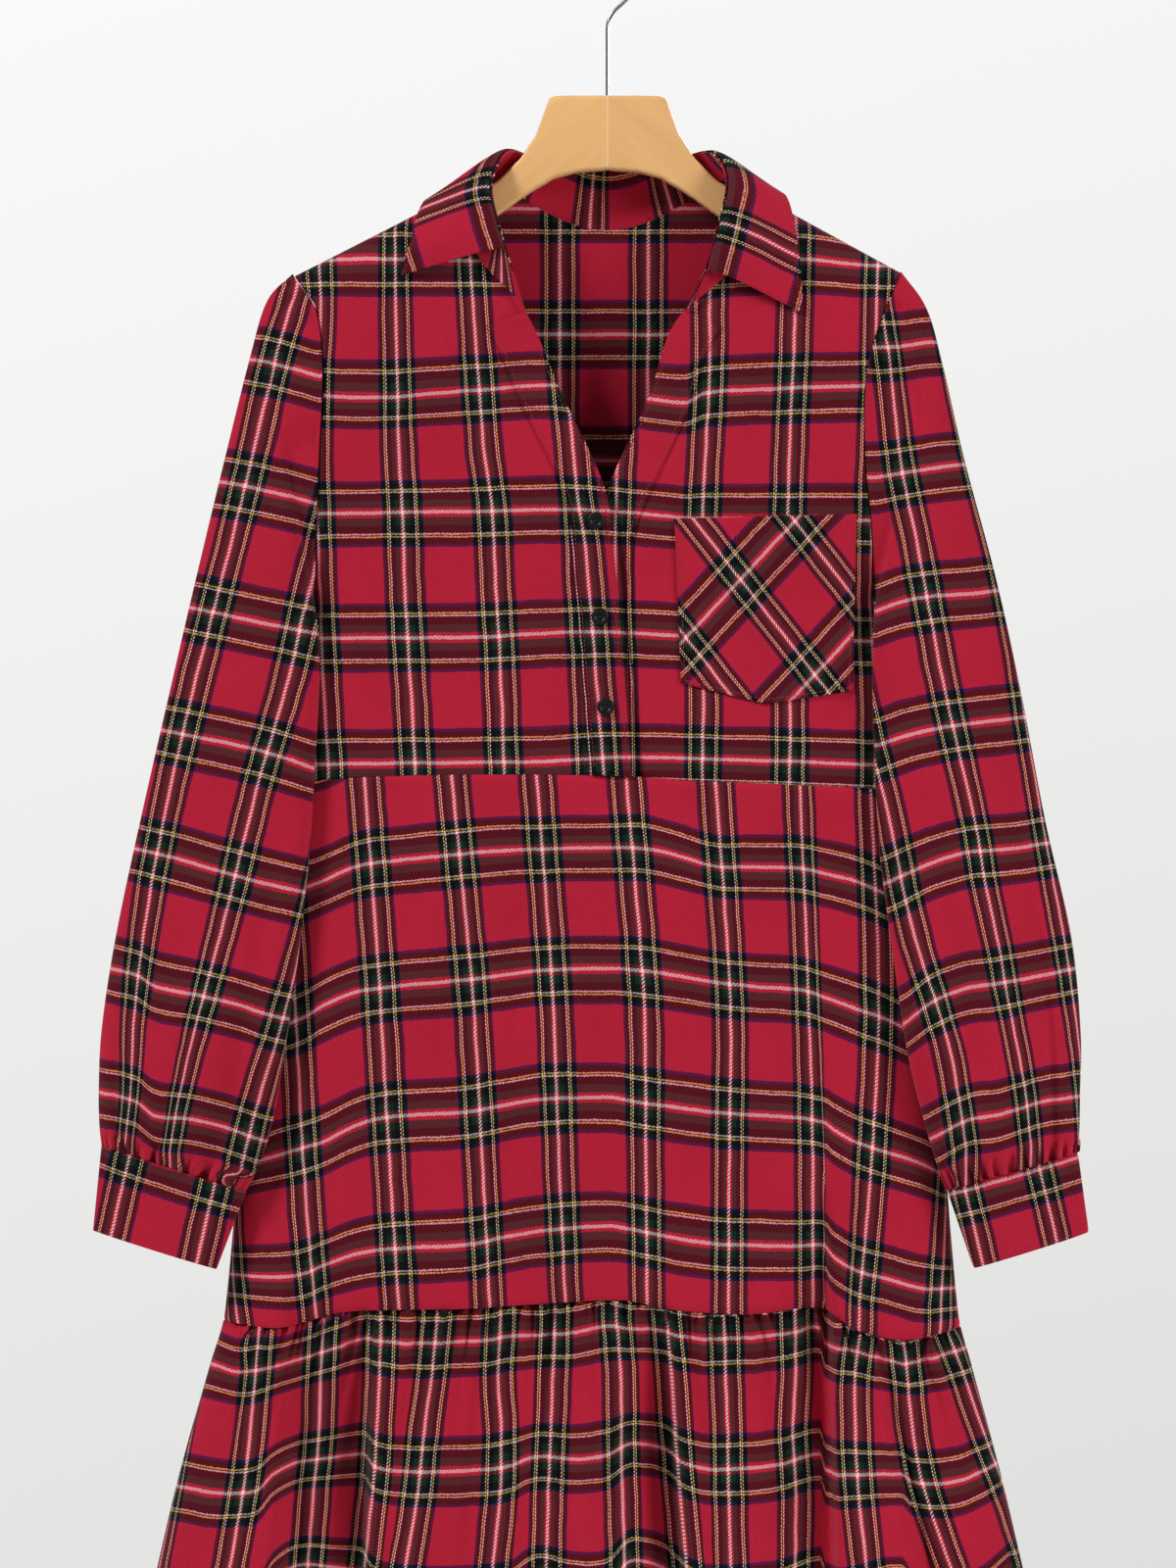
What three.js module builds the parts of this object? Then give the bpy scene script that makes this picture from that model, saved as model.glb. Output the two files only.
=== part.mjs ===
// Long sleeved mini dress of tartan flannel, hung on a wooden hanger.
// Millimetres, +Z up, the front faces -Y and +X is the viewer's right.
// The origin is the inside top of the hook, where a rail carries the whole thing.

import * as THREE from 'three';

// Cloth and seams
const WALL = 1.3; // brushed cotton with its turned edges
const SEAM_GAP = 0.3; // between two sewn pieces
const HALF_GAP = SEAM_GAP / 2;
const LAYER = WALL + SEAM_GAP; // from one layer's outer face to the next one's

// Heights that drive the dress
const NECK_POINT_X = 80; // where the shoulder seam meets the neck, each side of the hook
const NECK_POINT_Z = -155;
const TIP_LEFT = { x: -204.5, z: -219.5 }; // shoulder tips, where the sleeves start
const TIP_RIGHT = { x: 192, z: -217 };
const NECK_SCOOP = 33; // drop of the back neck seam below the neck points
const NECK_SCOOP_POWER = 1.5; // over 1 keeps the scoop shallow beside the neck points
const UNDERARM_Z = -431;
const HEM_Z = -1098;
const SHOULDER_SWEEP = 8; // how far the hanger carries the shoulder tips forward
const SHOULDER_ROUND = 34; // height over which the cloth turns over the hanger's arm
const SIDE_POWER = 6; // flatness of front and back between the side folds
const SWEEP_FOOT_Z = -560; // the forward sweep has died out here
const SWEEP_FADE = 320; // height over which it dies out

// Sections of the dress from the shoulder down to the hem. left and right are the edges of
// the panels, spread is the half width at which front and back would meet, front and back
// are the depths at the middle.
const BODY = [
  { z: -150, left: -210, right: 196, spread: 222, front: 18, back: 17 },
  { z: -217, left: -206, right: 192, spread: 218, front: 19, back: 17 },
  { z: -241, left: -191, right: 182, spread: 212, front: 20, back: 17 },
  { z: -279, left: -186, right: 170, spread: 208, front: 20.5, back: 17 },
  { z: -335, left: -188, right: 168, spread: 204, front: 20.5, back: 17 },
  { z: -390, left: -191, right: 173, spread: 194, front: 21, back: 17 },
  { z: UNDERARM_Z, left: -193, right: 175, spread: 184, front: 21, back: 17 },
  { z: -447, left: -196, right: 178, spread: 187, front: 21.5, back: 17.5 },
  { z: -480, left: -208, right: 190, spread: 199, front: 22, back: 18 },
  { z: -548, left: -222, right: 204, spread: 213, front: 24, back: 19 },
  { z: -700, left: -235, right: 215, spread: 225, front: 26, back: 21 },
  { z: -898, left: -251, right: 230, spread: 240.5, front: 30, back: 25 },
  { z: -934, left: -261, right: 239, spread: 250, front: 34, back: 29 },
  { z: -1001, left: -280, right: 257, spread: 268.5, front: 40, back: 36 },
  { z: -1064, left: -295, right: 272, spread: 283.5, front: 45, back: 42 },
  { z: -1110, left: -305, right: 283, spread: 294, front: 48, back: 45 },
];

// Seam lines across the dress, height by place
const WAIST_SEAM = [
  { x: -240, z: -555 },
  { x: -150, z: -548 },
  { x: -20, z: -547 },
  { x: 60, z: -551 },
  { x: 210, z: -557 },
];
const RUFFLE_SEAM_FRONT = [
  { x: -252, z: -905 },
  { x: -212, z: -908 },
  { x: -170, z: -897.5 },
  { x: -80, z: -895 },
  { x: 8, z: -889.5 },
  { x: 36, z: -895 },
  { x: 90, z: -899 },
  { x: 140, z: -896 },
  { x: 162, z: -909 },
  { x: 195, z: -916 },
  { x: 231, z: -909 },
];
const RUFFLE_SEAM_BACK = [
  { x: -252, z: -905 },
  { x: -130, z: -898 },
  { x: 10, z: -893 },
  { x: 140, z: -901 },
  { x: 231, z: -909 },
];

// Inner edge of each front: under the collar, down the V, then the placket. share runs from
// the neck point, 0, to the waist seam, 1.
const EDGE_LEFT = [
  { share: 0, x: -NECK_POINT_X, z: NECK_POINT_Z },
  { share: 0.06, x: -91, z: -178 },
  { share: 0.135, x: -84, z: -209 },
  { share: 0.214, x: -56, z: -240 },
  { share: 0.364, x: -30, z: -298 },
  { share: 0.52, x: -2, z: -359 },
  { share: 0.62, x: 4, z: -400 },
  { share: 0.8, x: 10, z: -470 },
  { share: 1, x: 16, z: -548 },
];
const EDGE_RIGHT = [
  { share: 0, x: NECK_POINT_X, z: NECK_POINT_Z },
  { share: 0.06, x: 90, z: -178 },
  { share: 0.14, x: 84, z: -213 },
  { share: 0.242, x: 45, z: -250 },
  { share: 0.374, x: 26, z: -302 },
  { share: 0.5, x: 3, z: -352 },
  { share: 0.578, x: -9, z: -384 },
  { share: 0.7, x: -11, z: -430 },
  { share: 1, x: -11, z: -548 },
];
const PLACKET_WIDTH = 27;
const PLACKET_TOP = 0.225; // share of the inner edge where the collar stand ends
const PLACKET_LIFT = LAYER + 0.2; // from the front's outer face to the band's
const UNDERLAP = PLACKET_LIFT + LAYER + 0.2; // how far the right front lies behind the left one
const UNDERLAP_START = 2; // past the left front's edge, where it starts to come forward again
const UNDERLAP_FADE = 32; // width over which it does
const CROSSING_Z = -357; // where the V closes
const CROSSING_FADE = 70;
const PLACKET_FIRST_ROW = 0.05; // share of the inner edge kept free of rows under its top

// Patch pocket, cut on the bias, on the right front
const POCKET_LIFT = LAYER + 0.7;
const POCKET_TOP = [
  { share: 0, x: 43.5, z: -379.5 },
  { share: 1, x: 163, z: -376.5 },
];
const POCKET_FOOT = [
  { share: 0, x: 48, z: -487 },
  { share: 0.5, x: 103, z: -500.5 },
  { share: 1, x: 160.5, z: -492 },
];

// Large folds. Each row is a trough that starts at topZ, runs down to the end of its panel
// and moves from top to foot across; inward is its depth at the foot, width its spread.
const TROUGH_OPENING = 1.6; // over 1 lets a trough reach its depth before its foot
const FRONT_TROUGHS = [
  { top: -196, foot: -214, topZ: -800, footZ: HEM_Z, width: 19, inward: 11 },
  { top: -163, foot: -168, topZ: -880, footZ: HEM_Z, width: 11, inward: 10 },
  { top: -36, foot: -58, topZ: -640, footZ: HEM_Z, width: 28, inward: 6 },
  { top: 40, foot: 50, topZ: -870, footZ: HEM_Z, width: 12, inward: 10 },
  { top: 92, foot: 102, topZ: -700, footZ: HEM_Z, width: 20, inward: 5 },
  { top: 150, foot: 164, topZ: -770, footZ: HEM_Z, width: 15, inward: 14 },
  { top: 184, foot: 222, topZ: -890, footZ: HEM_Z, width: 12, inward: 9 },
];
const BACK_TROUGHS = [
  { top: -190, foot: -208, topZ: -790, footZ: HEM_Z, width: 17, inward: 11 },
  { top: -122, foot: -136, topZ: -860, footZ: HEM_Z, width: 13, inward: 9 },
  { top: -58, foot: -66, topZ: -660, footZ: HEM_Z, width: 24, inward: 8 },
  { top: 14, foot: 20, topZ: -850, footZ: HEM_Z, width: 14, inward: 11 },
  { top: 78, foot: 90, topZ: -700, footZ: HEM_Z, width: 20, inward: 7 },
  { top: 142, foot: 162, topZ: -820, footZ: HEM_Z, width: 15, inward: 12 },
];

// Gathers at the top of the ruffle and above the cuffs
const GATHER_GAP = 0.2; // more room under the skirt, where the gathered edge is uneven
const RUFFLE_GATHERS = 20; // on each of front and back
const STEPS_PER_GATHER = 4;
const RUFFLE_GATHER_DEPTH = 2.6;
const RUFFLE_GATHER_RISE = 8; // height over which a gather opens below its seam
const RUFFLE_GATHER_FALL = 70; // height over which it dies out again
const RUFFLE_UNEVEN = 0.35; // share by which the gathers differ in depth
const RUFFLE_UNEVEN_TURN = 0.37; // radians of that unevenness a column
const RUFFLE_SIDE_FADE = 0.03; // share of the width next to each side fold left plain
const ARMHOLE_GAP = 0.45; // along X, so about a seam gap square to the slanted edge
const SLEEVE_GATHERS = 10;
const SLEEVE_GATHER_DEPTH = 2.6;
const SLEEVE_GATHER_TURN = 0.4; // radians by which the gathers are moved round the sleeve
const SLEEVE_GATHER_BY_ROW = [0, 0, 0, 0, 0, 0, 0, 0.35, 0.9, 1, 0]; // share of the depth, row by row

// Sleeves, one row for a section. The outer and inner ends are the two side folds as seen
// from the front; outerY and innerY are their places in depth, front and back the swell.
const SLEEVE_LEFT = [
  { outerX: -222, outerZ: -237, outerY: -8, innerX: -193.5, innerZ: -433, innerY: -7, front: 13, back: 10 },
  { outerX: -233, outerZ: -273, outerY: -7, innerX: -192.5, innerZ: -440, innerY: -12, front: 15, back: 11 },
  { outerX: -250, outerZ: -341, outerY: -6, innerX: -190, innerZ: -456, innerY: -18, front: 16, back: 11 },
  { outerX: -269, outerZ: -420, outerY: -6, innerX: -189.5, innerZ: -488, innerY: -21, front: 16, back: 10 },
  { outerX: -285, outerZ: -489, outerY: -6, innerX: -192, innerZ: -535, innerY: -23, front: 17, back: 9 },
  { outerX: -305, outerZ: -577, outerY: -7, innerX: -196, innerZ: -600, innerY: -24, front: 19, back: 9 },
  { outerX: -321, outerZ: -653, outerY: -8, innerX: -203, innerZ: -665, innerY: -25, front: 21, back: 10 },
  { outerX: -330, outerZ: -712, outerY: -9, innerX: -212, innerZ: -728, innerY: -26, front: 23, back: 11 },
  { outerX: -332, outerZ: -752, outerY: -10, innerX: -220, innerZ: -774, innerY: -25, front: 22, back: 11 },
  { outerX: -331.5, outerZ: -776, outerY: -11, innerX: -229.5, innerZ: -803, innerY: -24, front: 17, back: 10 },
  { outerX: -330, outerZ: -789, outerY: -12, innerX: -237, innerZ: -818, innerY: -23, front: 10, back: 8 },
];
const SLEEVE_RIGHT = [
  { outerX: 209, outerZ: -241, outerY: -8, innerX: 175.5, innerZ: -433, innerY: -7, front: 13, back: 10 },
  { outerX: 219.5, outerZ: -277, outerY: -7, innerX: 174.5, innerZ: -440, innerY: -12, front: 15, back: 11 },
  { outerX: 234, outerZ: -340, outerY: -6, innerX: 173.5, innerZ: -456, innerY: -18, front: 16, back: 11 },
  { outerX: 254, outerZ: -415, outerY: -6, innerX: 173, innerZ: -488, innerY: -21, front: 16, back: 10 },
  { outerX: 270, outerZ: -487, outerY: -6, innerX: 174, innerZ: -530, innerY: -23, front: 17, back: 9 },
  { outerX: 287, outerZ: -577, outerY: -7, innerX: 177.5, innerZ: -597, innerY: -24, front: 19, back: 9 },
  { outerX: 304, outerZ: -653, outerY: -8, innerX: 186, innerZ: -663, innerY: -25, front: 21, back: 10 },
  { outerX: 310, outerZ: -716, outerY: -9, innerX: 195.5, innerZ: -728, innerY: -26, front: 23, back: 11 },
  { outerX: 309.5, outerZ: -756, outerY: -10, innerX: 206, innerZ: -771, innerY: -25, front: 22, back: 11 },
  { outerX: 309, outerZ: -780, outerY: -11, innerX: 214.5, innerZ: -800, innerY: -24, front: 17, back: 10 },
  { outerX: 308, outerZ: -794, outerY: -12, innerX: 221.5, innerZ: -818, innerY: -23, front: 10, back: 8 },
];

// Cuffs: the foot of each, under the last row of its sleeve
const CUFF_FOOT_LEFT = { outerX: -335.5, outerZ: -845, outerY: -13, innerX: -256.5, innerZ: -869, innerY: -22 };
const CUFF_FOOT_RIGHT = { outerX: 315, outerZ: -846, outerY: -13, innerX: 239, innerZ: -869, innerY: -22 };
const CUFF_FRONT = 10.5; // swell of the cuff's front and back
const CUFF_BACK = 8.5;
const CUFF_STEPS = 24; // points round a cuff
const CUFF_DROP = 0.007; // share of the cuff's height that clears the sleeve's last ring

// Collar, from the left front end round the back of the neck to the right front end.
// The stand rises from the neck seam to the roll line, the leaf falls from there to its edge,
// which lies a little way, lift, off the front, face -1, or the back, face 1.
const ROLL_LINE = [
  { x: -67, y: -29, z: -204 },
  { x: -73, y: -28, z: -184 },
  { x: -77, y: -22, z: -160 },
  { x: -67, y: -5, z: -137 },
  { x: -46, y: 17, z: -139 },
  { x: 0, y: 25, z: -142 },
  { x: 46, y: 17, z: -139 },
  { x: 70, y: -5, z: -138 },
  { x: 79, y: -22, z: -158 },
  { x: 74, y: -28, z: -184 },
  { x: 65, y: -30, z: -218 },
];
const LEAF_EDGE = [
  { x: -135, z: -221, face: -1, lift: 3 },
  { x: -130, z: -202, face: -1, lift: 4.6 },
  { x: -123, z: -174, face: -1, lift: 6 },
  { x: -115, z: -171, face: 1, lift: 6 },
  { x: -88, z: -188, face: 1, lift: 5 },
  { x: 0, z: -199, face: 1, lift: 5 },
  { x: 88, z: -188, face: 1, lift: 5 },
  { x: 111, z: -168, face: 1, lift: 6 },
  { x: 119, z: -170, face: -1, lift: 6 },
  { x: 125, z: -205, face: -1, lift: 4.2 },
  { x: 128, z: -246, face: -1, lift: 3 },
];
const LEAF_SWELL = 3.2; // how far the leaf stands off a straight line
const STAND_LIFT = 2; // neck seam of the stand off the fronts
const STAND_INSET = 2.8; // roll line of the stand inside the leaf's
const STAND_FRONT_PART = 0.3; // share of the stand's length that each front carries
const COLLAR_LEAN = { aside: 0.45, up: 22 }; // how the collar leans away from the neck

// Buttons of the placket
const BUTTON_RADIUS = 5.6;
const BUTTON_THICKNESS = 2.6;
const BUTTON_STEPS = 16;
const BUTTON_PROFILE = [ // shares of the radius and of half the thickness
  { out: 0, up: 0.2 },
  { out: 0.45, up: 0.2 },
  { out: 0.62, up: 0.7 },
  { out: 0.86, up: 1 },
  { out: 1, up: 0.5 },
  { out: 0.8, up: -1 },
  { out: 0, up: -1 },
];
const BUTTONS = [
  { name: 'button_top', x: -7.7, z: -381 },
  { name: 'button_middle', x: -5, z: -443.5 },
  { name: 'button_bottom', x: -1.3, z: -502.5 },
];

// Hanger: a contoured wooden body, sections from the left end to the right end
const HANGER_THICKNESS = 11;
const HANGER_EDGE = 3; // rounding of its long edges
const HANGER_EDGE_SHARE = 0.3; // of the height at most, where the arms end thin
const HANGER_HALF = [
  { x: 0, top: -101, foot: -150 },
  { x: 20, top: -101, foot: -151.5 },
  { x: 35, top: -101.3, foot: -155.5 },
  { x: 38.5, top: -103.5, foot: -157.5 },
  { x: 41.5, top: -112, foot: -159.5 },
  { x: 47, top: -127, foot: -162.5 },
  { x: 57, top: -142, foot: -169 },
  { x: 72, top: -157, foot: -180 },
  { x: 90, top: -168, foot: -191 },
  { x: 120, top: -184, foot: -209 },
  { x: 155, top: -202.5, foot: -227 },
  { x: 174, top: -213.5, foot: -236 },
  { x: 182, top: -219, foot: -238.5 },
  { x: 185.5, top: -225, foot: -235 },
];

// Hook of steel wire
const WIRE_RADIUS = 1.2;
const HOOK_INNER_RADIUS = 20;
const CROOK_START = -45; // degrees round from the right, where the stem joins the round crook
const CROOK_END = 200;
const CROOK_STEP = 15;
const HOOK_STEPS = 42; // along the wire
const STEM = [
  { x: 0, z: HANGER_HALF[0].top + SEAM_GAP },
  { x: 0, z: -90 },
  { x: 0, z: -78 },
  { x: 0, z: -66 },
  { x: 0, z: -57 },
  { x: 0.9, z: -51 },
  { x: 4, z: -45.8 },
  { x: 9.2, z: -40.9 },
];

// Colours of the materials
const TARTAN_RED = 0xb41e32;
const WOOD_TAN = 0xd6a060;
const STEEL_GREY = 0xb9bcc0;
const BUTTON_BLACK = 0x1b1b1d;

const clothLook = () => new THREE.MeshStandardMaterial({ color: TARTAN_RED, roughness: 0.95, metalness: 0 });
const woodLook = () => new THREE.MeshStandardMaterial({ color: WOOD_TAN, roughness: 0.45, metalness: 0 });
const steelLook = () => new THREE.MeshStandardMaterial({ color: STEEL_GREY, roughness: 0.25, metalness: 1 });
const buttonLook = () => new THREE.MeshStandardMaterial({ color: BUTTON_BLACK, roughness: 0.4, metalness: 0 });

const dress = new THREE.Group();

function addPiece(name, geometry, material) {
  const mesh = new THREE.Mesh(geometry, material);
  mesh.name = name;
  dress.add(mesh);
  return mesh;
}

// Small mathematics
const lerp = (a, b, t) => a + (b - a) * t;
const clamp = (value, low, high) => Math.min(high, Math.max(low, value));

function smooth(t) {
  const s = clamp(t, 0, 1);
  return s * s * (3 - 2 * s);
}

// Value of a column at a place along a table, on a curve through the rows
function along(rows, key, at, column) {
  const sign = rows[rows.length - 1][key] > rows[0][key] ? 1 : -1;
  let i = 0;
  while (i < rows.length - 2 && sign * at > sign * rows[i + 1][key]) {
    i += 1;
  }
  const slope = (j) => {
    const low = rows[Math.max(j - 1, 0)];
    const high = rows[Math.min(j + 1, rows.length - 1)];
    return (high[column] - low[column]) / (high[key] - low[key]);
  };
  const span = rows[i + 1][key] - rows[i][key];
  const t = clamp((at - rows[i][key]) / span, 0, 1);
  const t2 = t * t;
  const t3 = t2 * t;
  return (2 * t3 - 3 * t2 + 1) * rows[i][column]
    + (t3 - 2 * t2 + t) * span * slope(i)
    + (3 * t2 - 2 * t3) * rows[i + 1][column]
    + (t3 - t2) * span * slope(i + 1);
}

// A list of count + 1 places from 0 to 1, crowded at the ends by crowdStart and crowdEnd
function places(count, crowdStart = 0, crowdEnd = 0) {
  const list = [];
  for (let i = 0; i <= count; i += 1) {
    const t = i / count;
    const start = 1 - Math.cos((t * Math.PI) / 2);
    const end = Math.sin((t * Math.PI) / 2);
    const both = (1 - Math.cos(t * Math.PI)) / 2;
    const even = t;
    if (crowdStart && crowdEnd) {
      list.push(lerp(even, both, crowdStart));
    } else if (crowdStart) {
      list.push(lerp(even, start, crowdStart));
    } else {
      list.push(lerp(even, end, crowdEnd));
    }
  }
  return list;
}

const SKIRT_ACROSS = places(28, 0.8, 0.8);

// Form of the dress: height of the shoulder line and depth of front and back at (x, z)
function shoulderZ(x) {
  const tip = x < 0 ? TIP_LEFT : TIP_RIGHT;
  const t = Math.max(0, (Math.abs(x) - NECK_POINT_X) / (Math.abs(tip.x) - NECK_POINT_X));
  return lerp(NECK_POINT_Z, tip.z, t);
}

// The middle surface between front and back, swept forward with the hanger's arms
function middleY(x, z) {
  const share = x / TIP_LEFT.x;
  const fade = smooth((z - SWEEP_FOOT_Z) / SWEEP_FADE);
  return -SHOULDER_SWEEP * share * share * fade;
}

function depthShare(x, z) {
  const middle = (along(BODY, 'z', z, 'left') + along(BODY, 'z', z, 'right')) / 2;
  const aside = Math.abs((x - middle) / along(BODY, 'z', z, 'spread'));
  const side = Math.sqrt(Math.max(0, 1 - Math.min(1, aside) ** SIDE_POWER));
  const below = clamp((shoulderZ(x) - z) / SHOULDER_ROUND, 0, 1);
  return side * Math.sqrt(1 - (1 - below) ** 2);
}

function troughs(rows, x, z) {
  let sum = 0;
  for (const row of rows) {
    const t = clamp((row.topZ - z) / (row.topZ - row.footZ), 0, 1);
    const aside = (x - lerp(row.top, row.foot, t)) / row.width;
    sum += row.inward * smooth(t * TROUGH_OPENING) * Math.exp(-aside * aside);
  }
  return sum;
}

function frontY(x, z) {
  const share = depthShare(x, z);
  const inward = troughs(FRONT_TROUGHS, x, z) * share;
  return middleY(x, z) - HALF_GAP - along(BODY, 'z', z, 'front') * share + inward;
}

function backY(x, z) {
  const share = depthShare(x, z);
  const inward = troughs(BACK_TROUGHS, x, z) * share;
  return middleY(x, z) + HALF_GAP + along(BODY, 'z', z, 'back') * share - inward;
}

// The right front passes behind the left one below the V
function rightFrontY(x, z) {
  const lapEdge = along(EDGE_LEFT, 'z', z, 'x');
  const across = 1 - smooth((x - lapEdge - UNDERLAP_START) / UNDERLAP_FADE);
  const down = smooth((CROSSING_Z + CROSSING_FADE - z) / CROSSING_FADE);
  return frontY(x, z) + UNDERLAP * across * down;
}

// A point moved straight out of the front or back of the dress
function lifted(x, z, depth, face, out) {
  const step = 0.05;
  const slopeX = (depth(x + step, z) - depth(x - step, z)) / (2 * step);
  const slopeZ = (depth(x, z + step) - depth(x, z - step)) / (2 * step);
  const normal = new THREE.Vector3(-slopeX, 1, -slopeZ).normalize().multiplyScalar(face * out);
  return [x + normal.x, depth(x, z) + normal.y, z + normal.z];
}

// Patch between four edges, each a function from a share to [x, z]
function patch(top, foot, start, end) {
  return (u, v) => [0, 1].map((k) => {
    const ruled = lerp(top(u)[k], foot(u)[k], v) + lerp(start(v)[k], end(v)[k], u);
    const corners = lerp(lerp(top(0)[k], top(1)[k], u), lerp(foot(0)[k], foot(1)[k], u), v);
    return ruled - corners;
  });
}

// Outward normal of a surface at a place, by small steps kept inside the surface
function normalAt(surface, u, v, toward) {
  const step = 1e-3;
  const uStep = u > 0.5 ? -step : step;
  const vStep = v > 0.5 ? -step : step;
  const at = new THREE.Vector3(...surface(u, v));
  const across = new THREE.Vector3(...surface(u + uStep, v)).sub(at).divideScalar(uStep);
  const down = new THREE.Vector3(...surface(u, v + vStep)).sub(at).divideScalar(vStep);
  const normal = across.cross(down).normalize();
  return normal.multiplyScalar(toward);
}

// Closed wall from a grid of outer points and the grid of inner points behind them
function wallGeometry(outer, inner, ring) {
  const rows = outer.length;
  const columns = outer[0].length;
  const positions = [...outer, ...inner].flat(2);
  const index = [];
  const id = (layer, row, column) => (layer * rows + row) * columns + (column % columns);
  const quad = (a, b, c, d) => index.push(a, b, c, a, c, d);
  const last = ring ? columns : columns - 1;
  const foot = rows - 1;
  const end = columns - 1;
  for (let row = 0; row < rows - 1; row += 1) {
    for (let column = 0; column < last; column += 1) {
      quad(id(0, row, column), id(0, row + 1, column), id(0, row + 1, column + 1), id(0, row, column + 1));
      quad(id(1, row, column), id(1, row, column + 1), id(1, row + 1, column + 1), id(1, row + 1, column));
    }
  }
  for (let column = 0; column < last; column += 1) {
    quad(id(0, 0, column), id(0, 0, column + 1), id(1, 0, column + 1), id(1, 0, column));
    quad(id(0, foot, column), id(1, foot, column), id(1, foot, column + 1), id(0, foot, column + 1));
  }
  if (!ring) {
    for (let row = 0; row < rows - 1; row += 1) {
      quad(id(0, row, 0), id(1, row, 0), id(1, row + 1, 0), id(0, row + 1, 0));
      quad(id(0, row, end), id(0, row + 1, end), id(1, row + 1, end), id(1, row, end));
    }
  }
  return facingOut(positions, index);
}

// Geometry whose faces point out, turned over if its volume comes out negative
function facingOut(positions, index) {
  let volume = 0;
  const corner = (i) => new THREE.Vector3(positions[3 * i], positions[3 * i + 1], positions[3 * i + 2]);
  for (let i = 0; i < index.length; i += 3) {
    volume += corner(index[i]).dot(corner(index[i + 1]).cross(corner(index[i + 2])));
  }
  const faces = volume > 0 ? index : index.slice().reverse();
  const geometry = new THREE.BufferGeometry();
  geometry.setAttribute('position', new THREE.Float32BufferAttribute(positions, 3));
  geometry.setIndex(faces);
  geometry.computeVertexNormals();
  return geometry;
}

// Cloth panel: outer face on the surface, the wall behind it. toward is the outward side,
// keep moves a point that would pass its seam.
function panel(surface, across, down, toward, keep = (p) => p) {
  const outer = [];
  const inner = [];
  for (const v of down) {
    const outerRow = [];
    const innerRow = [];
    for (const u of across) {
      const p = surface(u, v);
      const n = normalAt(surface, u, v, toward);
      outerRow.push(keep(p, u, v));
      innerRow.push(keep([p[0] - WALL * n.x, p[1] - WALL * n.y, p[2] - WALL * n.z], u, v));
    }
    outer.push(outerRow);
    inner.push(innerRow);
  }
  return wallGeometry(outer, inner, false);
}

// Edges shared by the panels
const edgePoint = (rows) => (v) => [along(rows, 'share', v, 'x'), along(rows, 'share', v, 'z')];
const sideEdge = (column, fromZ, toZ) => (v) => {
  const z = lerp(fromZ, toZ, v);
  return [along(BODY, 'z', z, column), z];
};
const sideX = (column, z) => along(BODY, 'z', z, column);

// Height of a seam at the side where two panels and a side fold meet, found in a few rounds
function seamEndZ(rows, column) {
  const rounds = 4;
  let z = rows[0].z;
  for (let i = 0; i < rounds; i += 1) {
    z = along(rows, 'x', sideX(column, z), 'z');
  }
  return z;
}
const WAIST_LEFT_Z = seamEndZ(WAIST_SEAM, 'left');
const WAIST_RIGHT_Z = seamEndZ(WAIST_SEAM, 'right');
const RUFFLE_LEFT_Z = seamEndZ(RUFFLE_SEAM_FRONT, 'left');
const RUFFLE_RIGHT_Z = seamEndZ(RUFFLE_SEAM_FRONT, 'right');

// The ruffle seam runs straight between the skirt's columns, so both its sides agree
function ruffleSeamZ(rows) {
  const marks = SKIRT_ACROSS.map((u) => lerp(sideX('left', RUFFLE_LEFT_Z), sideX('right', RUFFLE_RIGHT_Z), u));
  const heights = marks.map((x) => along(rows, 'x', x, 'z'));
  return (x) => {
    let i = 0;
    while (i < marks.length - 2 && x > marks[i + 1]) {
      i += 1;
    }
    return lerp(heights[i], heights[i + 1], clamp((x - marks[i]) / (marks[i + 1] - marks[i]), 0, 1));
  };
}

// Edge of a panel along a seam whose height is a function of the place across
const edgeAt = (heightAt, fromX, toX, shift) => (u) => {
  const x = lerp(fromX, toX, u);
  return [x, heightAt(x) + shift];
};

const waistSeamZ = (x) => along(WAIST_SEAM, 'x', x, 'z');

// Bodice fronts: a patch from the inner edge to the armhole and side fold
function frontPatch(edgeRows, tip, column, waistZ) {
  const inner = edgePoint(edgeRows);
  const innerFoot = inner(1)[0];
  const side = sideEdge(column, tip.z, waistZ + HALF_GAP);
  const tipX = side(0)[0];
  const shoulder = (u) => [lerp(edgeRows[0].x, tipX, u), lerp(edgeRows[0].z, tip.z, u)];
  const waist = edgeAt(waistSeamZ, innerFoot, side(1)[0], HALF_GAP);
  const innerEdge = (v) => {
    const p = inner(v);
    return v === 1 ? waist(0) : p;
  };
  return patch(shoulder, waist, innerEdge, side);
}

const leftFrontPatch = frontPatch(EDGE_LEFT, TIP_LEFT, 'left', WAIST_LEFT_Z);
const rightFrontPatch = frontPatch(EDGE_RIGHT, TIP_RIGHT, 'right', WAIST_RIGHT_Z);

// Surface over a patch, with its depth from a function, moved out by some layers
const raised = (flat, depth, out = 0) => (u, v) => {
  const [x, z] = flat(u, v);
  return [x, depth(x, z) - out, z];
};

// Keeps front pieces in front of the middle surface and back pieces behind it
const beforeMiddle = (p) => [p[0], Math.min(p[1], middleY(p[0], p[2]) - HALF_GAP), p[2]];
const behindMiddle = (p) => [p[0], Math.max(p[1], middleY(p[0], p[2]) + HALF_GAP), p[2]];

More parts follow.
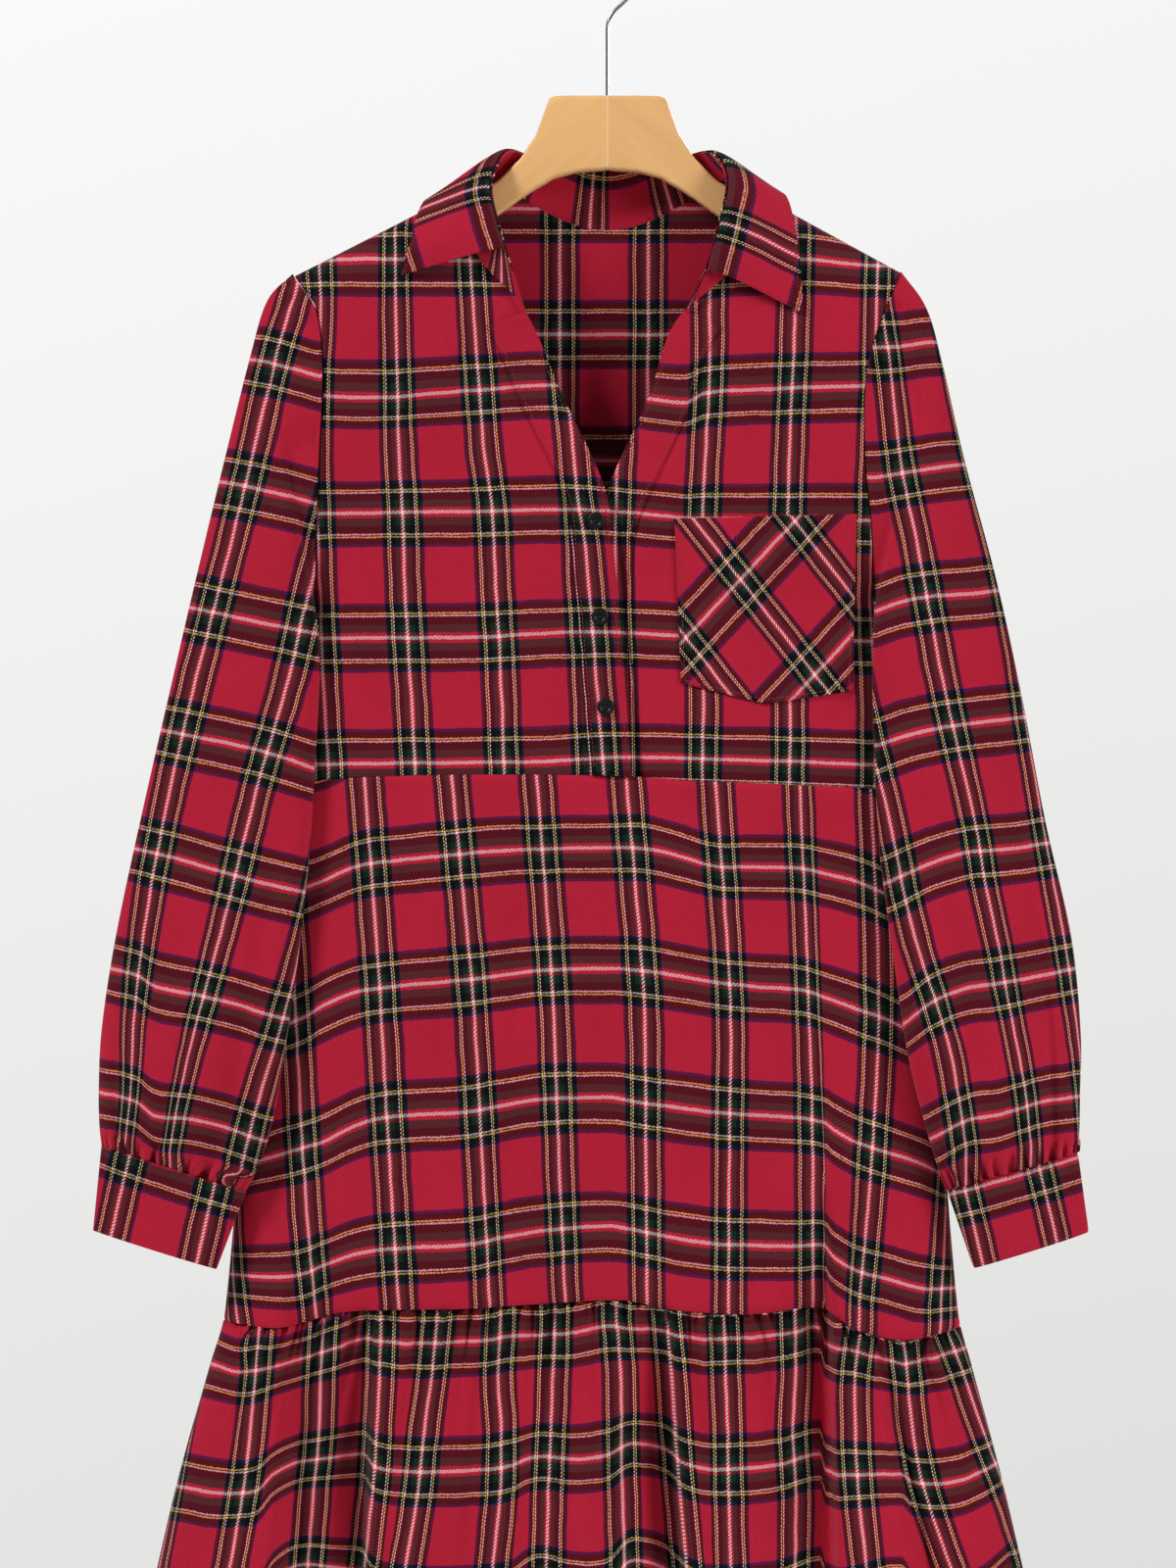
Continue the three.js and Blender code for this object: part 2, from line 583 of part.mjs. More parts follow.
// Keeps both faces of the first and last row half a gap from their seams
const levelEnds = (topSeam, footSeam, keepSide) => (p, u, v) => {
  if (v === 0 && topSeam) {
    return keepSide([p[0], p[1], topSeam(p[0]) - HALF_GAP]);
  }
  if (v === 1 && footSeam) {
    return keepSide([p[0], p[1], footSeam(p[0]) + HALF_GAP]);
  }
  return keepSide(p);
};
const RUFFLE_SEAM_FRONT_Z = ruffleSeamZ(RUFFLE_SEAM_FRONT);
const RUFFLE_SEAM_BACK_Z = ruffleSeamZ(RUFFLE_SEAM_BACK);

const BODICE_DOWN = [0, 0.012, 0.04, 0.08, 0.15, 0.25, 0.36, 0.47, 0.56, 0.63, 0.7, 0.79, 0.89, 1];
const FRONT_ACROSS = [0, 0.06, 0.13, 0.21, 0.32, 0.45, 0.58, 0.7, 0.81, 0.9, 0.96, 0.99, 1];

function bodiceFronts() {
  const across = FRONT_ACROSS;
  const keep = levelEnds(null, waistSeamZ, beforeMiddle);
  const left = raised(leftFrontPatch, frontY);
  const right = raised(rightFrontPatch, rightFrontY);
  addPiece('bodice_front_left', panel(left, across, BODICE_DOWN, 1, keep), clothLook());
  addPiece('bodice_front_right', panel(right, across, BODICE_DOWN, -1, keep), clothLook());
}

// Top edge of the back: shoulder seams with the neck scooped between them
function backTop(u) {
  const x = lerp(sideX('left', TIP_LEFT.z), sideX('right', TIP_RIGHT.z), u);
  const aside = Math.abs(x) / NECK_POINT_X;
  if (aside >= 1) {
    return [x, shoulderZ(x)];
  }
  return [x, NECK_POINT_Z - NECK_SCOOP * (1 - aside * aside) ** NECK_SCOOP_POWER];
}

function bodiceBack() {
  const foot = edgeAt(waistSeamZ, sideX('left', WAIST_LEFT_Z), sideX('right', WAIST_RIGHT_Z), HALF_GAP);
  const start = sideEdge('left', TIP_LEFT.z, WAIST_LEFT_Z + HALF_GAP);
  const end = sideEdge('right', TIP_RIGHT.z, WAIST_RIGHT_Z + HALF_GAP);
  const top = (u) => {
    if (u === 0) {
      return start(0);
    }
    return u === 1 ? end(0) : backTop(u);
  };
  const surface = raised(patch(top, foot, start, end), backY);
  const width = TIP_RIGHT.x - TIP_LEFT.x;
  const neckStart = (-NECK_POINT_X - TIP_LEFT.x) / width;
  const neckEnd = (NECK_POINT_X - TIP_LEFT.x) / width;
  const shoulderSteps = places(5, 1, 0).map((t) => t * neckStart);
  const neckSteps = places(8, 1, 1).slice(1, -1).map((t) => lerp(neckStart, neckEnd, t));
  const farSteps = places(5, 0, 1).map((t) => lerp(neckEnd, 1, t));
  const across = [...shoulderSteps, ...neckSteps, ...farSteps];
  const keep = levelEnds(null, waistSeamZ, behindMiddle);
  addPiece('bodice_back', panel(surface, across, BODICE_DOWN, 1, keep), clothLook());
}

// Placket bands: strips of the fronts' own points along their inner edges, moved out
function placketBand(flat, depth) {
  return (u, v) => {
    const share = lerp(PLACKET_TOP, 1, v);
    const start = flat(0, share);
    const end = flat(1, share);
    const width = PLACKET_WIDTH / Math.hypot(end[0] - start[0], end[1] - start[1]);
    const [x, z] = flat(u * width, share);
    return [x, depth(x, z) - PLACKET_LIFT, z];
  };
}

function plackets() {
  const across = places(2);
  const shares = [PLACKET_TOP, ...BODICE_DOWN.filter((share) => share > PLACKET_TOP + PLACKET_FIRST_ROW)];
  const down = shares.map((share) => (share - PLACKET_TOP) / (1 - PLACKET_TOP));
  const left = placketBand(leftFrontPatch, frontY);
  const right = placketBand(rightFrontPatch, rightFrontY);
  addPiece('placket_left', panel(left, across, down, 1), clothLook());
  addPiece('placket_right', panel(right, across, down, -1), clothLook());
}

function pocket() {
  const top = edgePoint(POCKET_TOP);
  const foot = (u) => {
    const half = u < 0.5 ? [POCKET_FOOT[0], POCKET_FOOT[1]] : [POCKET_FOOT[1], POCKET_FOOT[2]];
    const t = (u - half[0].share) / (half[1].share - half[0].share);
    return [lerp(half[0].x, half[1].x, t), lerp(half[0].z, half[1].z, t)];
  };
  const start = (v) => [lerp(top(0)[0], foot(0)[0], v), lerp(top(0)[1], foot(0)[1], v)];
  const end = (v) => [lerp(top(1)[0], foot(1)[0], v), lerp(top(1)[1], foot(1)[1], v)];
  const surface = raised(patch(top, foot, start, end), rightFrontY, POCKET_LIFT);
  addPiece('pocket', panel(surface, places(8), places(7), -1), clothLook());
}

// Skirt: front and back from the waist seam to the ruffle seam
function skirtSurface(seamZ, depth) {
  const top = edgeAt(waistSeamZ, sideX('left', WAIST_LEFT_Z), sideX('right', WAIST_RIGHT_Z), -HALF_GAP);
  const foot = edgeAt(seamZ, sideX('left', RUFFLE_LEFT_Z), sideX('right', RUFFLE_RIGHT_Z), HALF_GAP);
  const start = sideEdge('left', WAIST_LEFT_Z - HALF_GAP, RUFFLE_LEFT_Z + HALF_GAP);
  const end = sideEdge('right', WAIST_RIGHT_Z - HALF_GAP, RUFFLE_RIGHT_Z + HALF_GAP);
  return raised(patch(top, foot, start, end), depth);
}

function skirt() {
  const down = places(8);
  const front = skirtSurface(RUFFLE_SEAM_FRONT_Z, frontY);
  const back = skirtSurface(RUFFLE_SEAM_BACK_Z, backY);
  const keepFront = levelEnds(waistSeamZ, RUFFLE_SEAM_FRONT_Z, beforeMiddle);
  const keepBack = levelEnds(waistSeamZ, RUFFLE_SEAM_BACK_Z, behindMiddle);
  addPiece('skirt_front', panel(front, SKIRT_ACROSS, down, -1, keepFront), clothLook());
  addPiece('skirt_back', panel(back, SKIRT_ACROSS, down, 1, keepBack), clothLook());
}

// Ruffle: gathered into the seam, then falling in flutes to the hem
function ruffleSurface(seamZ, depth, outward, across) {
  const top = edgeAt(seamZ, sideX('left', RUFFLE_LEFT_Z), sideX('right', RUFFLE_RIGHT_Z), -HALF_GAP);
  const foot = (u) => [lerp(sideX('left', HEM_Z), sideX('right', HEM_Z), u), HEM_Z];
  const start = sideEdge('left', RUFFLE_LEFT_Z - HALF_GAP, HEM_Z);
  const end = sideEdge('right', RUFFLE_RIGHT_Z - HALF_GAP, HEM_Z);
  const flat = patch(top, foot, start, end);
  return (u, v) => {
    const [x, z] = flat(u, v);
    const fall = top(u)[1] - z;
    const rise = smooth(fall / RUFFLE_GATHER_RISE);
    const open = rise * Math.exp(-fall / RUFFLE_GATHER_FALL);
    const step = stepAt(across, u);
    const uneven = 1 + RUFFLE_UNEVEN * Math.sin(step * RUFFLE_UNEVEN_TURN);
    const wave = Math.sin((step * Math.PI * 2) / STEPS_PER_GATHER) * uneven;
    const edge = smooth(Math.min(u, 1 - u) / RUFFLE_SIDE_FADE);
    return [x, depth(x, z) + outward * RUFFLE_GATHER_DEPTH * wave * open * edge, z];
  };
}

// Number of the column at a place, with fractions between columns
function stepAt(across, u) {
  let i = 0;
  while (i < across.length - 2 && u > across[i + 1]) {
    i += 1;
  }
  return i + (u - across[i]) / (across[i + 1] - across[i]);
}

function ruffle() {
  const across = places(RUFFLE_GATHERS * STEPS_PER_GATHER, 0.7, 0.7);
  const down = [0, 0.045, 0.13, 0.3, 0.6, 1];
  const front = ruffleSurface(RUFFLE_SEAM_FRONT_Z, frontY, -1, across);
  const back = ruffleSurface(RUFFLE_SEAM_BACK_Z, backY, 1, across);
  const hemLine = () => HEM_Z - HALF_GAP;
  const keepFront = levelEnds((x) => RUFFLE_SEAM_FRONT_Z(x) - GATHER_GAP, hemLine, beforeMiddle);
  const keepBack = levelEnds((x) => RUFFLE_SEAM_BACK_Z(x) - GATHER_GAP, hemLine, behindMiddle);
  addPiece('ruffle_front', panel(front, across, down, -1, keepFront), clothLook());
  addPiece('ruffle_back', panel(back, across, down, 1, keepBack), clothLook());
}

// Ring of a sleeve or cuff between its two side folds. turn runs once round, from the
// outer fold over the front to the inner fold and back behind.
function foldRing(row, turn, wave = 0) {
  const across = (1 + Math.cos(turn)) / 2;
  const swell = Math.sin(turn) >= 0 ? row.front : row.back;
  const y = lerp(row.innerY, row.outerY, across) - (swell + wave) * Math.sin(turn);
  return [lerp(row.innerX, row.outerX, across), y, lerp(row.innerZ, row.outerZ, across)];
}

// Ring round the armhole, on the edges of front and back, just clear of them. It runs
// straight between the rows of the panels, as their edges do.
function armholeRing(column, tip, waistZ, frontDepth, turn) {
  const across = (1 + Math.cos(turn)) / 2;
  const z = lerp(UNDERARM_Z, tip.z, across);
  const depth = Math.sin(turn) >= 0 ? frontDepth : backY;
  const rowZ = BODICE_DOWN.map((share) => lerp(tip.z, waistZ + HALF_GAP, share));
  let i = 0;
  while (i < rowZ.length - 2 && z < rowZ[i + 1]) {
    i += 1;
  }
  const t = clamp((z - rowZ[i]) / (rowZ[i + 1] - rowZ[i]), 0, 1);
  const ends = [rowZ[i], rowZ[i + 1]].map((at) => [sideX(column, at), depth(sideX(column, at), at)]);
  const edge = lerp(ends[0][0], ends[1][0], t);
  return [edge + Math.sign(edge) * ARMHOLE_GAP, lerp(ends[0][1], ends[1][1], t), z];
}

// Wall inside a ring, moved in the ring's own plane towards its middle
function insideRing(ring, wall) {
  const count = ring.length;
  const centre = [0, 1, 2].map((k) => ring.reduce((sum, p) => sum + p[k], 0) / count);
  const axis = new THREE.Vector3();
  ring.forEach((p, i) => {
    const a = new THREE.Vector3(...p).sub(new THREE.Vector3(...centre));
    const b = new THREE.Vector3(...ring[(i + 1) % count]).sub(new THREE.Vector3(...centre));
    axis.add(a.cross(b));
  });
  axis.normalize();
  return ring.map((p, i) => {
    const before = new THREE.Vector3(...ring[(i + count - 1) % count]);
    const after = new THREE.Vector3(...ring[(i + 1) % count]);
    const inward = axis.clone().cross(after.sub(before)).normalize();
    return [p[0] + inward.x * wall, p[1] + inward.y * wall, p[2] + inward.z * wall];
  });
}

function tube(rings) {
  return wallGeometry(rings, rings.map((ring) => insideRing(ring, WALL)), true);
}

const SLEEVE_STEPS = SLEEVE_GATHERS * STEPS_PER_GATHER;

function sleeveRing(row, wave) {
  const ring = [];
  for (let i = 0; i < SLEEVE_STEPS; i += 1) {
    const turn = (i / SLEEVE_STEPS) * Math.PI * 2;
    const gather = Math.sin((i * Math.PI * 2) / STEPS_PER_GATHER + SLEEVE_GATHER_TURN);
    ring.push(foldRing(row, turn, gather * SLEEVE_GATHER_DEPTH * wave));
  }
  return ring;
}

function sleeve(name, rows, column, tip, waistZ, frontDepth) {
  const rings = [];
  const first = [];
  for (let i = 0; i < SLEEVE_STEPS; i += 1) {
    first.push(armholeRing(column, tip, waistZ, frontDepth, (i / SLEEVE_STEPS) * Math.PI * 2));
  }
  rings.push(first);
  rows.forEach((row, i) => rings.push(sleeveRing(row, SLEEVE_GATHER_BY_ROW[i])));
  addPiece(name, tube(rings), clothLook());
}

// Cuff: a closed band under the sleeve's last ring
function cuff(name, sleeveRow, foot) {
  const top = { ...sleeveRow, front: CUFF_FRONT, back: CUFF_BACK };
  const low = { ...foot, front: CUFF_FRONT, back: CUFF_BACK };
  const mix = (t) => Object.fromEntries(Object.keys(top).map((key) => [key, lerp(top[key], low[key], t)]));
  const rings = [CUFF_DROP, 0.5, 1].map((t) => {
    const ring = [];
    for (let i = 0; i < CUFF_STEPS; i += 1) {
      ring.push(foldRing(mix(t), (i / CUFF_STEPS) * Math.PI * 2));
    }
    return ring;
  });
  addPiece(name, tube(rings), clothLook());
}

// Neck seam of the collar stand: the inner edges of the fronts and the back's scoop
function neckSeam(t) {
  if (t <= STAND_FRONT_PART) {
    const share = lerp(PLACKET_TOP, 0, t / STAND_FRONT_PART);
    const x = along(EDGE_LEFT, 'share', share, 'x');
    const z = along(EDGE_LEFT, 'share', share, 'z');
    return lifted(x, z, frontY, -1, STAND_LIFT);
  }
  if (t >= 1 - STAND_FRONT_PART) {
    const share = lerp(PLACKET_TOP, 0, (1 - t) / STAND_FRONT_PART);
    const x = along(EDGE_RIGHT, 'share', share, 'x');
    const z = along(EDGE_RIGHT, 'share', share, 'z');
    return lifted(x, z, rightFrontY, -1, STAND_LIFT);
  }
  const u = (t - STAND_FRONT_PART) / (1 - 2 * STAND_FRONT_PART);
  const x = -NECK_POINT_X * Math.cos(Math.PI * u);
  const z = NECK_POINT_Z - NECK_SCOOP * (1 - (x / NECK_POINT_X) ** 2) ** NECK_SCOOP_POWER;
  return [x, backY(x, z), z + SEAM_GAP];
}

const curveOf = (rows) => new THREE.CatmullRomCurve3(rows.map((p) => new THREE.Vector3(p.x, p.y, p.z)));
const rollCurve = curveOf(ROLL_LINE);
const leafCurve = curveOf(LEAF_EDGE.map((row) => {
  const y = row.face < 0 ? frontY(row.x, row.z) - row.lift : backY(row.x, row.z) + row.lift;
  return { x: row.x, y, z: row.z };
}));

// Direction away from the neck at a point of the collar
function awayFromNeck(p) {
  return new THREE.Vector3(p.x * COLLAR_LEAN.aside, p.y, COLLAR_LEAN.up).normalize();
}

function collarLeaf() {
  const surface = (u, v) => {
    const roll = rollCurve.getPoint(u);
    const edge = leafCurve.getPoint(u);
    const p = roll.clone().lerp(edge, v);
    p.addScaledVector(awayFromNeck(p), LEAF_SWELL * Math.sin(Math.PI * Math.sqrt(v)));
    return [p.x, p.y, p.z];
  };
  addPiece('collar_leaf', panel(surface, places(30), places(5, 0.6, 0), 1), clothLook());
}

function collarStand() {
  const surface = (u, v) => {
    const seam = new THREE.Vector3(...neckSeam(u));
    const roll = rollCurve.getPoint(u);
    roll.addScaledVector(awayFromNeck(roll), -STAND_INSET);
    const p = seam.lerp(roll, v);
    return [p.x, p.y, p.z];
  };
  addPiece('collar_stand', panel(surface, places(30), places(2), 1), clothLook());
}

// Dished button, turned about its own axis and laid on the placket
function buttons() {
  const half = BUTTON_THICKNESS / 2;
  const profile = BUTTON_PROFILE.map((row) => new THREE.Vector2(BUTTON_RADIUS * row.out, -half * row.up));
  for (const button of BUTTONS) {
    const mesh = addPiece(button.name, new THREE.LatheGeometry(profile, BUTTON_STEPS), buttonLook());
    const depths = [-1, 0, 1].map((side) => frontY(button.x + side * BUTTON_RADIUS, button.z));
    mesh.position.set(button.x, Math.min(...depths) - PLACKET_LIFT - SEAM_GAP - half, button.z);
  }
}

// Wooden body of the hanger: rounded sections along its length, swept forward at the ends
function hangerWood() {
  const stations = [...HANGER_HALF.slice(1).reverse().map((row) => ({ ...row, x: -row.x })), ...HANGER_HALF];
  const half = HANGER_THICKNESS / 2;
  const rings = stations.map((row) => {
    const sweep = -SHOULDER_SWEEP * (row.x / TIP_LEFT.x) ** 2;
    const r = Math.min(HANGER_EDGE, (row.top - row.foot) * HANGER_EDGE_SHARE);
    const flatHalf = half - r;
    const ring = [];
    const corners = [
      { y: flatHalf, z: row.top - r, from: 0 },
      { y: -flatHalf, z: row.top - r, from: 90 },
      { y: -flatHalf, z: row.foot + r, from: 180 },
      { y: flatHalf, z: row.foot + r, from: 270 },
    ];
    for (const corner of corners) {
      for (const degrees of [0, 45, 90]) {
        const angle = THREE.MathUtils.degToRad(corner.from + degrees);
        ring.push([row.x, sweep + corner.y + r * Math.cos(angle), corner.z + r * Math.sin(angle)]);
      }
    }
    return ring;
  });
  const columns = rings[0].length;
  const positions = rings.flat(2);
  const index = [];
  for (let row = 0; row < rings.length - 1; row += 1) {
    for (let column = 0; column < columns; column += 1) {
      const a = row * columns + column;
      const b = row * columns + ((column + 1) % columns);
      index.push(a, a + columns, b + columns, a, b + columns, b);
    }
  }
  const last = (rings.length - 1) * columns;
  for (let column = 1; column < columns - 1; column += 1) {
    index.push(0, column, column + 1);
    index.push(last, last + column + 1, last + column);
  }
  addPiece('hanger_wood', facingOut(positions, index), woodLook());
}

// Steel hook: a stem, a bend to the right and a round crook over the origin
function hangerHook() {
  const radius = HOOK_INNER_RADIUS + WIRE_RADIUS;
  const centreZ = -HOOK_INNER_RADIUS;
  const points = STEM.map((row) => new THREE.Vector3(row.x, 0, row.z));
  for (let degrees = CROOK_START; degrees <= CROOK_END; degrees += CROOK_STEP) {
    const angle = THREE.MathUtils.degToRad(degrees);
    points.push(new THREE.Vector3(radius * Math.cos(angle), 0, centreZ + radius * Math.sin(angle)));
  }
  const section = new THREE.Shape();
  section.absarc(0, 0, WIRE_RADIUS, 0, Math.PI * 2);
  const path = new THREE.CatmullRomCurve3(points);
  const geometry = new THREE.ExtrudeGeometry(section, {
    extrudePath: path, steps: HOOK_STEPS, curveSegments: 4, bevelEnabled: false,
  });
  addPiece('hanger_hook', geometry, steelLook());
}

hangerHook();
hangerWood();
bodiceFronts();
bodiceBack();
plackets();
pocket();
collarStand();
collarLeaf();
buttons();
skirt();
ruffle();
sleeve('sleeve_left', SLEEVE_LEFT, 'left', TIP_LEFT, WAIST_LEFT_Z, frontY);
sleeve('sleeve_right', SLEEVE_RIGHT, 'right', TIP_RIGHT, WAIST_RIGHT_Z, rightFrontY);
cuff('cuff_left', SLEEVE_LEFT[SLEEVE_LEFT.length - 1], CUFF_FOOT_LEFT);
cuff('cuff_right', SLEEVE_RIGHT[SLEEVE_RIGHT.length - 1], CUFF_FOOT_RIGHT);

export default dress;
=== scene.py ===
# Looks of a long sleeved mini dress of tartan flannel on a wooden hanger.
# Sizes and places are in millimetres, in the frame's own axes: +Z up, the front faces -Y and
# +X is the viewer's right. Meshes and the camera are made in metres.

import math

import bpy
import numpy as np
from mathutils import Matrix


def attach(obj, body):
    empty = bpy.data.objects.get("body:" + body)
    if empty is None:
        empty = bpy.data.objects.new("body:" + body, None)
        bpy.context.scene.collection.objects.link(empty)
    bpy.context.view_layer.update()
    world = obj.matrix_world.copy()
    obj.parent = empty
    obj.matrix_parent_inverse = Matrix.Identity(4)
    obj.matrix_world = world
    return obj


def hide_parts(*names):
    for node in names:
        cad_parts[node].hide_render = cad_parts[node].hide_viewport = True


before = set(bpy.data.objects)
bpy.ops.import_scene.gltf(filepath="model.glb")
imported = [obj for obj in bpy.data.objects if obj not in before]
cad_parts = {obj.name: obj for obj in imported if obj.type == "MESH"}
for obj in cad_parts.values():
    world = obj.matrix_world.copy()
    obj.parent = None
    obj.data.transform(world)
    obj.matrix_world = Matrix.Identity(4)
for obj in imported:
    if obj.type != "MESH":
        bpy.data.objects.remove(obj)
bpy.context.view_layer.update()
BODY_NAME = "root"

MM = 0.001  # metres in a millimetre

# The photograph's frame, from which the camera is worked out
PHOTO_WIDTH = 1200
PHOTO_HEIGHT = 1600
MM_PER_PIXEL = 0.64
CENTRE_PIXEL_X = 620  # the hook's line
HANGER_TOP_PIXEL = 94
HANGER_TOP_Z = -101
CAMERA_AWAY = 4000
CLOTH_FRONT_Y = -22
SENSOR = 36

# Cloth and seams
WALL = 1.3
SEAM_GAP = 0.3
HALF_GAP = SEAM_GAP / 2
LAYER = WALL + SEAM_GAP
EDGE_TURN = 2.4  # width over which a sewn edge rounds away
EDGE_DROP = 0.9  # how far it rounds away
STITCH_INSET = 2.6  # from a sewn edge to its row of stitches
STITCH_PRESS = 0.35  # how deep the row is pressed into the cloth

# Heights that drive the dress, as in the solids
NECK_POINT_X = 80
NECK_POINT_Z = -155
TIP_LEFT = (-204.5, -219.5)
TIP_RIGHT = (192, -217)
NECK_SCOOP = 33
NECK_SCOOP_POWER = 1.5
UNDERARM_Z = -431
HEM_Z = -1098
SHOULDER_SWEEP = 8
SHOULDER_ROUND = 34
SIDE_POWER = 6
SWEEP_FOOT_Z = -560
SWEEP_FADE = 320


def columns(names, rows):
    """A table as one array for each named column."""
    values = np.array(rows, float)
    return {name: values[:, i] for i, name in enumerate(names.split())}


BODY = columns("z left right spread front back", [
    (-150, -210, 196, 222, 18, 17),
    (-217, -206, 192, 218, 19, 17),
    (-241, -191, 182, 212, 20, 17),
    (-279, -186, 170, 208, 20.5, 17),
    (-335, -188, 168, 204, 20.5, 17),
    (-390, -191, 173, 194, 21, 17),
    (UNDERARM_Z, -193, 175, 184, 21, 17),
    (-447, -196, 178, 187, 21.5, 17.5),
    (-480, -208, 190, 199, 22, 18),
    (-548, -222, 204, 213, 24, 19),
    (-700, -235, 215, 225, 26, 21),
    (-898, -251, 230, 240.5, 30, 25),
    (-934, -261, 239, 250, 34, 29),
    (-1001, -280, 257, 268.5, 40, 36),
    (-1064, -295, 272, 283.5, 45, 42),
    (-1110, -305, 283, 294, 48, 45),
])
WAIST_SEAM = columns("x z", [(-240, -555), (-150, -548), (-20, -547), (60, -551), (210, -557)])
RUFFLE_SEAM_FRONT = columns("x z", [
    (-252, -905), (-212, -908), (-170, -897.5), (-80, -895), (8, -889.5), (36, -895),
    (90, -899), (140, -896), (162, -909), (195, -916), (231, -909),
])
RUFFLE_SEAM_BACK = columns("x z", [(-252, -905), (-130, -898), (10, -893), (140, -901), (231, -909)])

# Inner edge of each front; share runs from the neck point, 0, to the waist seam, 1
EDGE_LEFT = columns("share x z", [
    (0, -NECK_POINT_X, NECK_POINT_Z), (0.06, -91, -178), (0.135, -84, -209), (0.214, -56, -240),
    (0.364, -30, -298), (0.52, -2, -359), (0.62, 4, -400), (0.8, 10, -470), (1, 16, -548),
])
EDGE_RIGHT = columns("share x z", [
    (0, NECK_POINT_X, NECK_POINT_Z), (0.06, 90, -178), (0.14, 84, -213), (0.242, 45, -250),
    (0.374, 26, -302), (0.5, 3, -352), (0.578, -9, -384), (0.7, -11, -430), (1, -11, -548),
])
PLACKET_WIDTH = 27
PLACKET_TOP = 0.225
PLACKET_LIFT = LAYER + 0.2
UNDERLAP = PLACKET_LIFT + LAYER + 0.2
UNDERLAP_START = 2
UNDERLAP_FADE = 32
LAP_GROOVE = 2.4  # shaded groove beside the overlap's edge
LAP_GROOVE_PLACE = 3
LAP_GROOVE_WIDTH = 3.2
LAP_GROOVE_FADE = 24
CROSSING_Z = -357
CROSSING_FADE = 70

POCKET_LIFT = LAYER + 0.7
POCKET_TOP = ((43.5, -379.5), (163, -376.5))
POCKET_POINT = (103, -500.5)
POCKET_FOOT = ((48, -487), (160.5, -492))

# Large folds, as in the solids: troughs that run down to the hem
TROUGH_OPENING = 1.6
TROUGH_COLUMNS = "top foot topZ wide_low wide_high inward"
FRONT_TROUGHS = columns(TROUGH_COLUMNS, [
    (-197, -204, -790, 11, 22, 20),
    (-157, -162, -866, 29, 3.5, 23),
    (-60, -72, -700, 22, 30, 8),
    (34, 49, -866, 27, 4, 21),
    (92, 102, -700, 24, 20, 4),
    (141, 146, -775, 24, 3.5, 23),
    (190, 218, -890, 12, 9, 9),
])
BACK_TROUGHS = columns(TROUGH_COLUMNS, [
    (-190, -208, -790, 17, 17, 11),
    (-122, -136, -860, 13, 13, 9),
    (-58, -66, -660, 24, 24, 8),
    (14, 20, -850, 14, 14, 11),
    (78, 90, -700, 20, 20, 7),
    (142, 162, -820, 15, 15, 12),
])

# Creases laid over them: a soft trough, or a ridge where inward is below zero, from one
# place to another, with its own width on each side
CREASE_COLUMNS = "x0 z0 x1 z1 wide_low wide_high inward"
FRONT_CREASES = columns(CREASE_COLUMNS, [
    (-150, -258, -124, -372, 10, 14, 2.2),
    (-176, -300, -168, -430, 8, 14, 2.0),
    (-104, -282, -66, -430, 10, 14, -1.6),
    (-58, -250, -34, -330, 8, 10, 1.8),
    (112, -262, 92, -365, 12, 9, 2.0),
    (60, -262, 34, -345, 7, 10, 2.0),
    (152, -270, 160, -400, 14, 8, 1.8),
    (-176, -440, -146, -530, 9, 12, 2.4),
    (-60, -430, -34, -540, 12, 9, 1.2),
    (150, -520, 172, -440, 8, 8, 2.0),
    (40, -500, 60, -548, 9, 12, 1.4),
    (-148, -552, -160, -700, 9, 14, 2.2),
    (-104, -560, -124, -780, 16, 12, -2.0),
    (-52, -590, -66, -900, 9, 20, 3.4),
    (-8, -570, -14, -760, 14, 14, -1.6),
    (34, -640, 24, -860, 16, 12, 2.0),
    (66, -556, 74, -760, 12, 7, 3.0),
    (92, -566, 104, -720, 9, 16, -1.6),
    (128, -556, 136, -690, 9, 9, 1.8),
    (-196, -600, -226, -880, 12, 10, 3.4),
    (-150, -740, -164, -890, 12, 12, 2.2),
    (92, -770, 98, -890, 16, 10, 2.2),
    (176, -600, 196, -890, 9, 12, 2.4),
    (-152, -900, -162, -1130, 14, 2.0, 7.0),
    (-118, -900, -134, -1110, 9, 14, -2.4),
    (-84, -900, -92, -1110, 8, 14, 2.4),
    (-36, -896, -40, -1130, 14, 12, 5.0),
    (-14, -896, -18, -1110, 10, 9, -2.0),
    (38, -890, 50, -1130, 26, 2.2, 6.5),
    (66, -900, 70, -1110, 10, 14, -2.6),
    (118, -905, 126, -1130, 14, 8, 5.0),
    (176, -905, 226, -1130, 9, 2.2, 7.0),
    (206, -915, 246, -1110, 8, 9, -2.4),
])
BACK_CREASES = columns(CREASE_COLUMNS, [
    (-140, -250, -118, -380, 12, 10, 2.0),
    (118, -250, 100, -372, 10, 12, 2.0),
    (0, -260, 6, -420, 14, 14, 1.6),
    (-60, -400, -48, -540, 12, 14, 1.4),
    (64, -410, 54, -540, 14, 10, 1.6),
    (-110, -570, -122, -780, 14, 12, 2.2),
    (40, -565, 34, -740, 12, 14, 2.0),
    (130, -580, 142, -800, 12, 10, 2.4),
    (-190, -620, -214, -880, 10, 10, 2.8),
    (-30, -660, -36, -880, 12, 12, 2.0),
    (-160, -905, -172, -1110, 12, 3.0, 4.5),
    (-96, -900, -104, -1110, 9, 12, 2.6),
    (-20, -900, -26, -1110, 14, 3.0, 4.5),
    (56, -900, 62, -1110, 9, 12, -2.4),
    (112, -900, 120, -1110, 3.0, 14, 4.5),
    (186, -905, 214, -1110, 9, 9, 3.0),
])

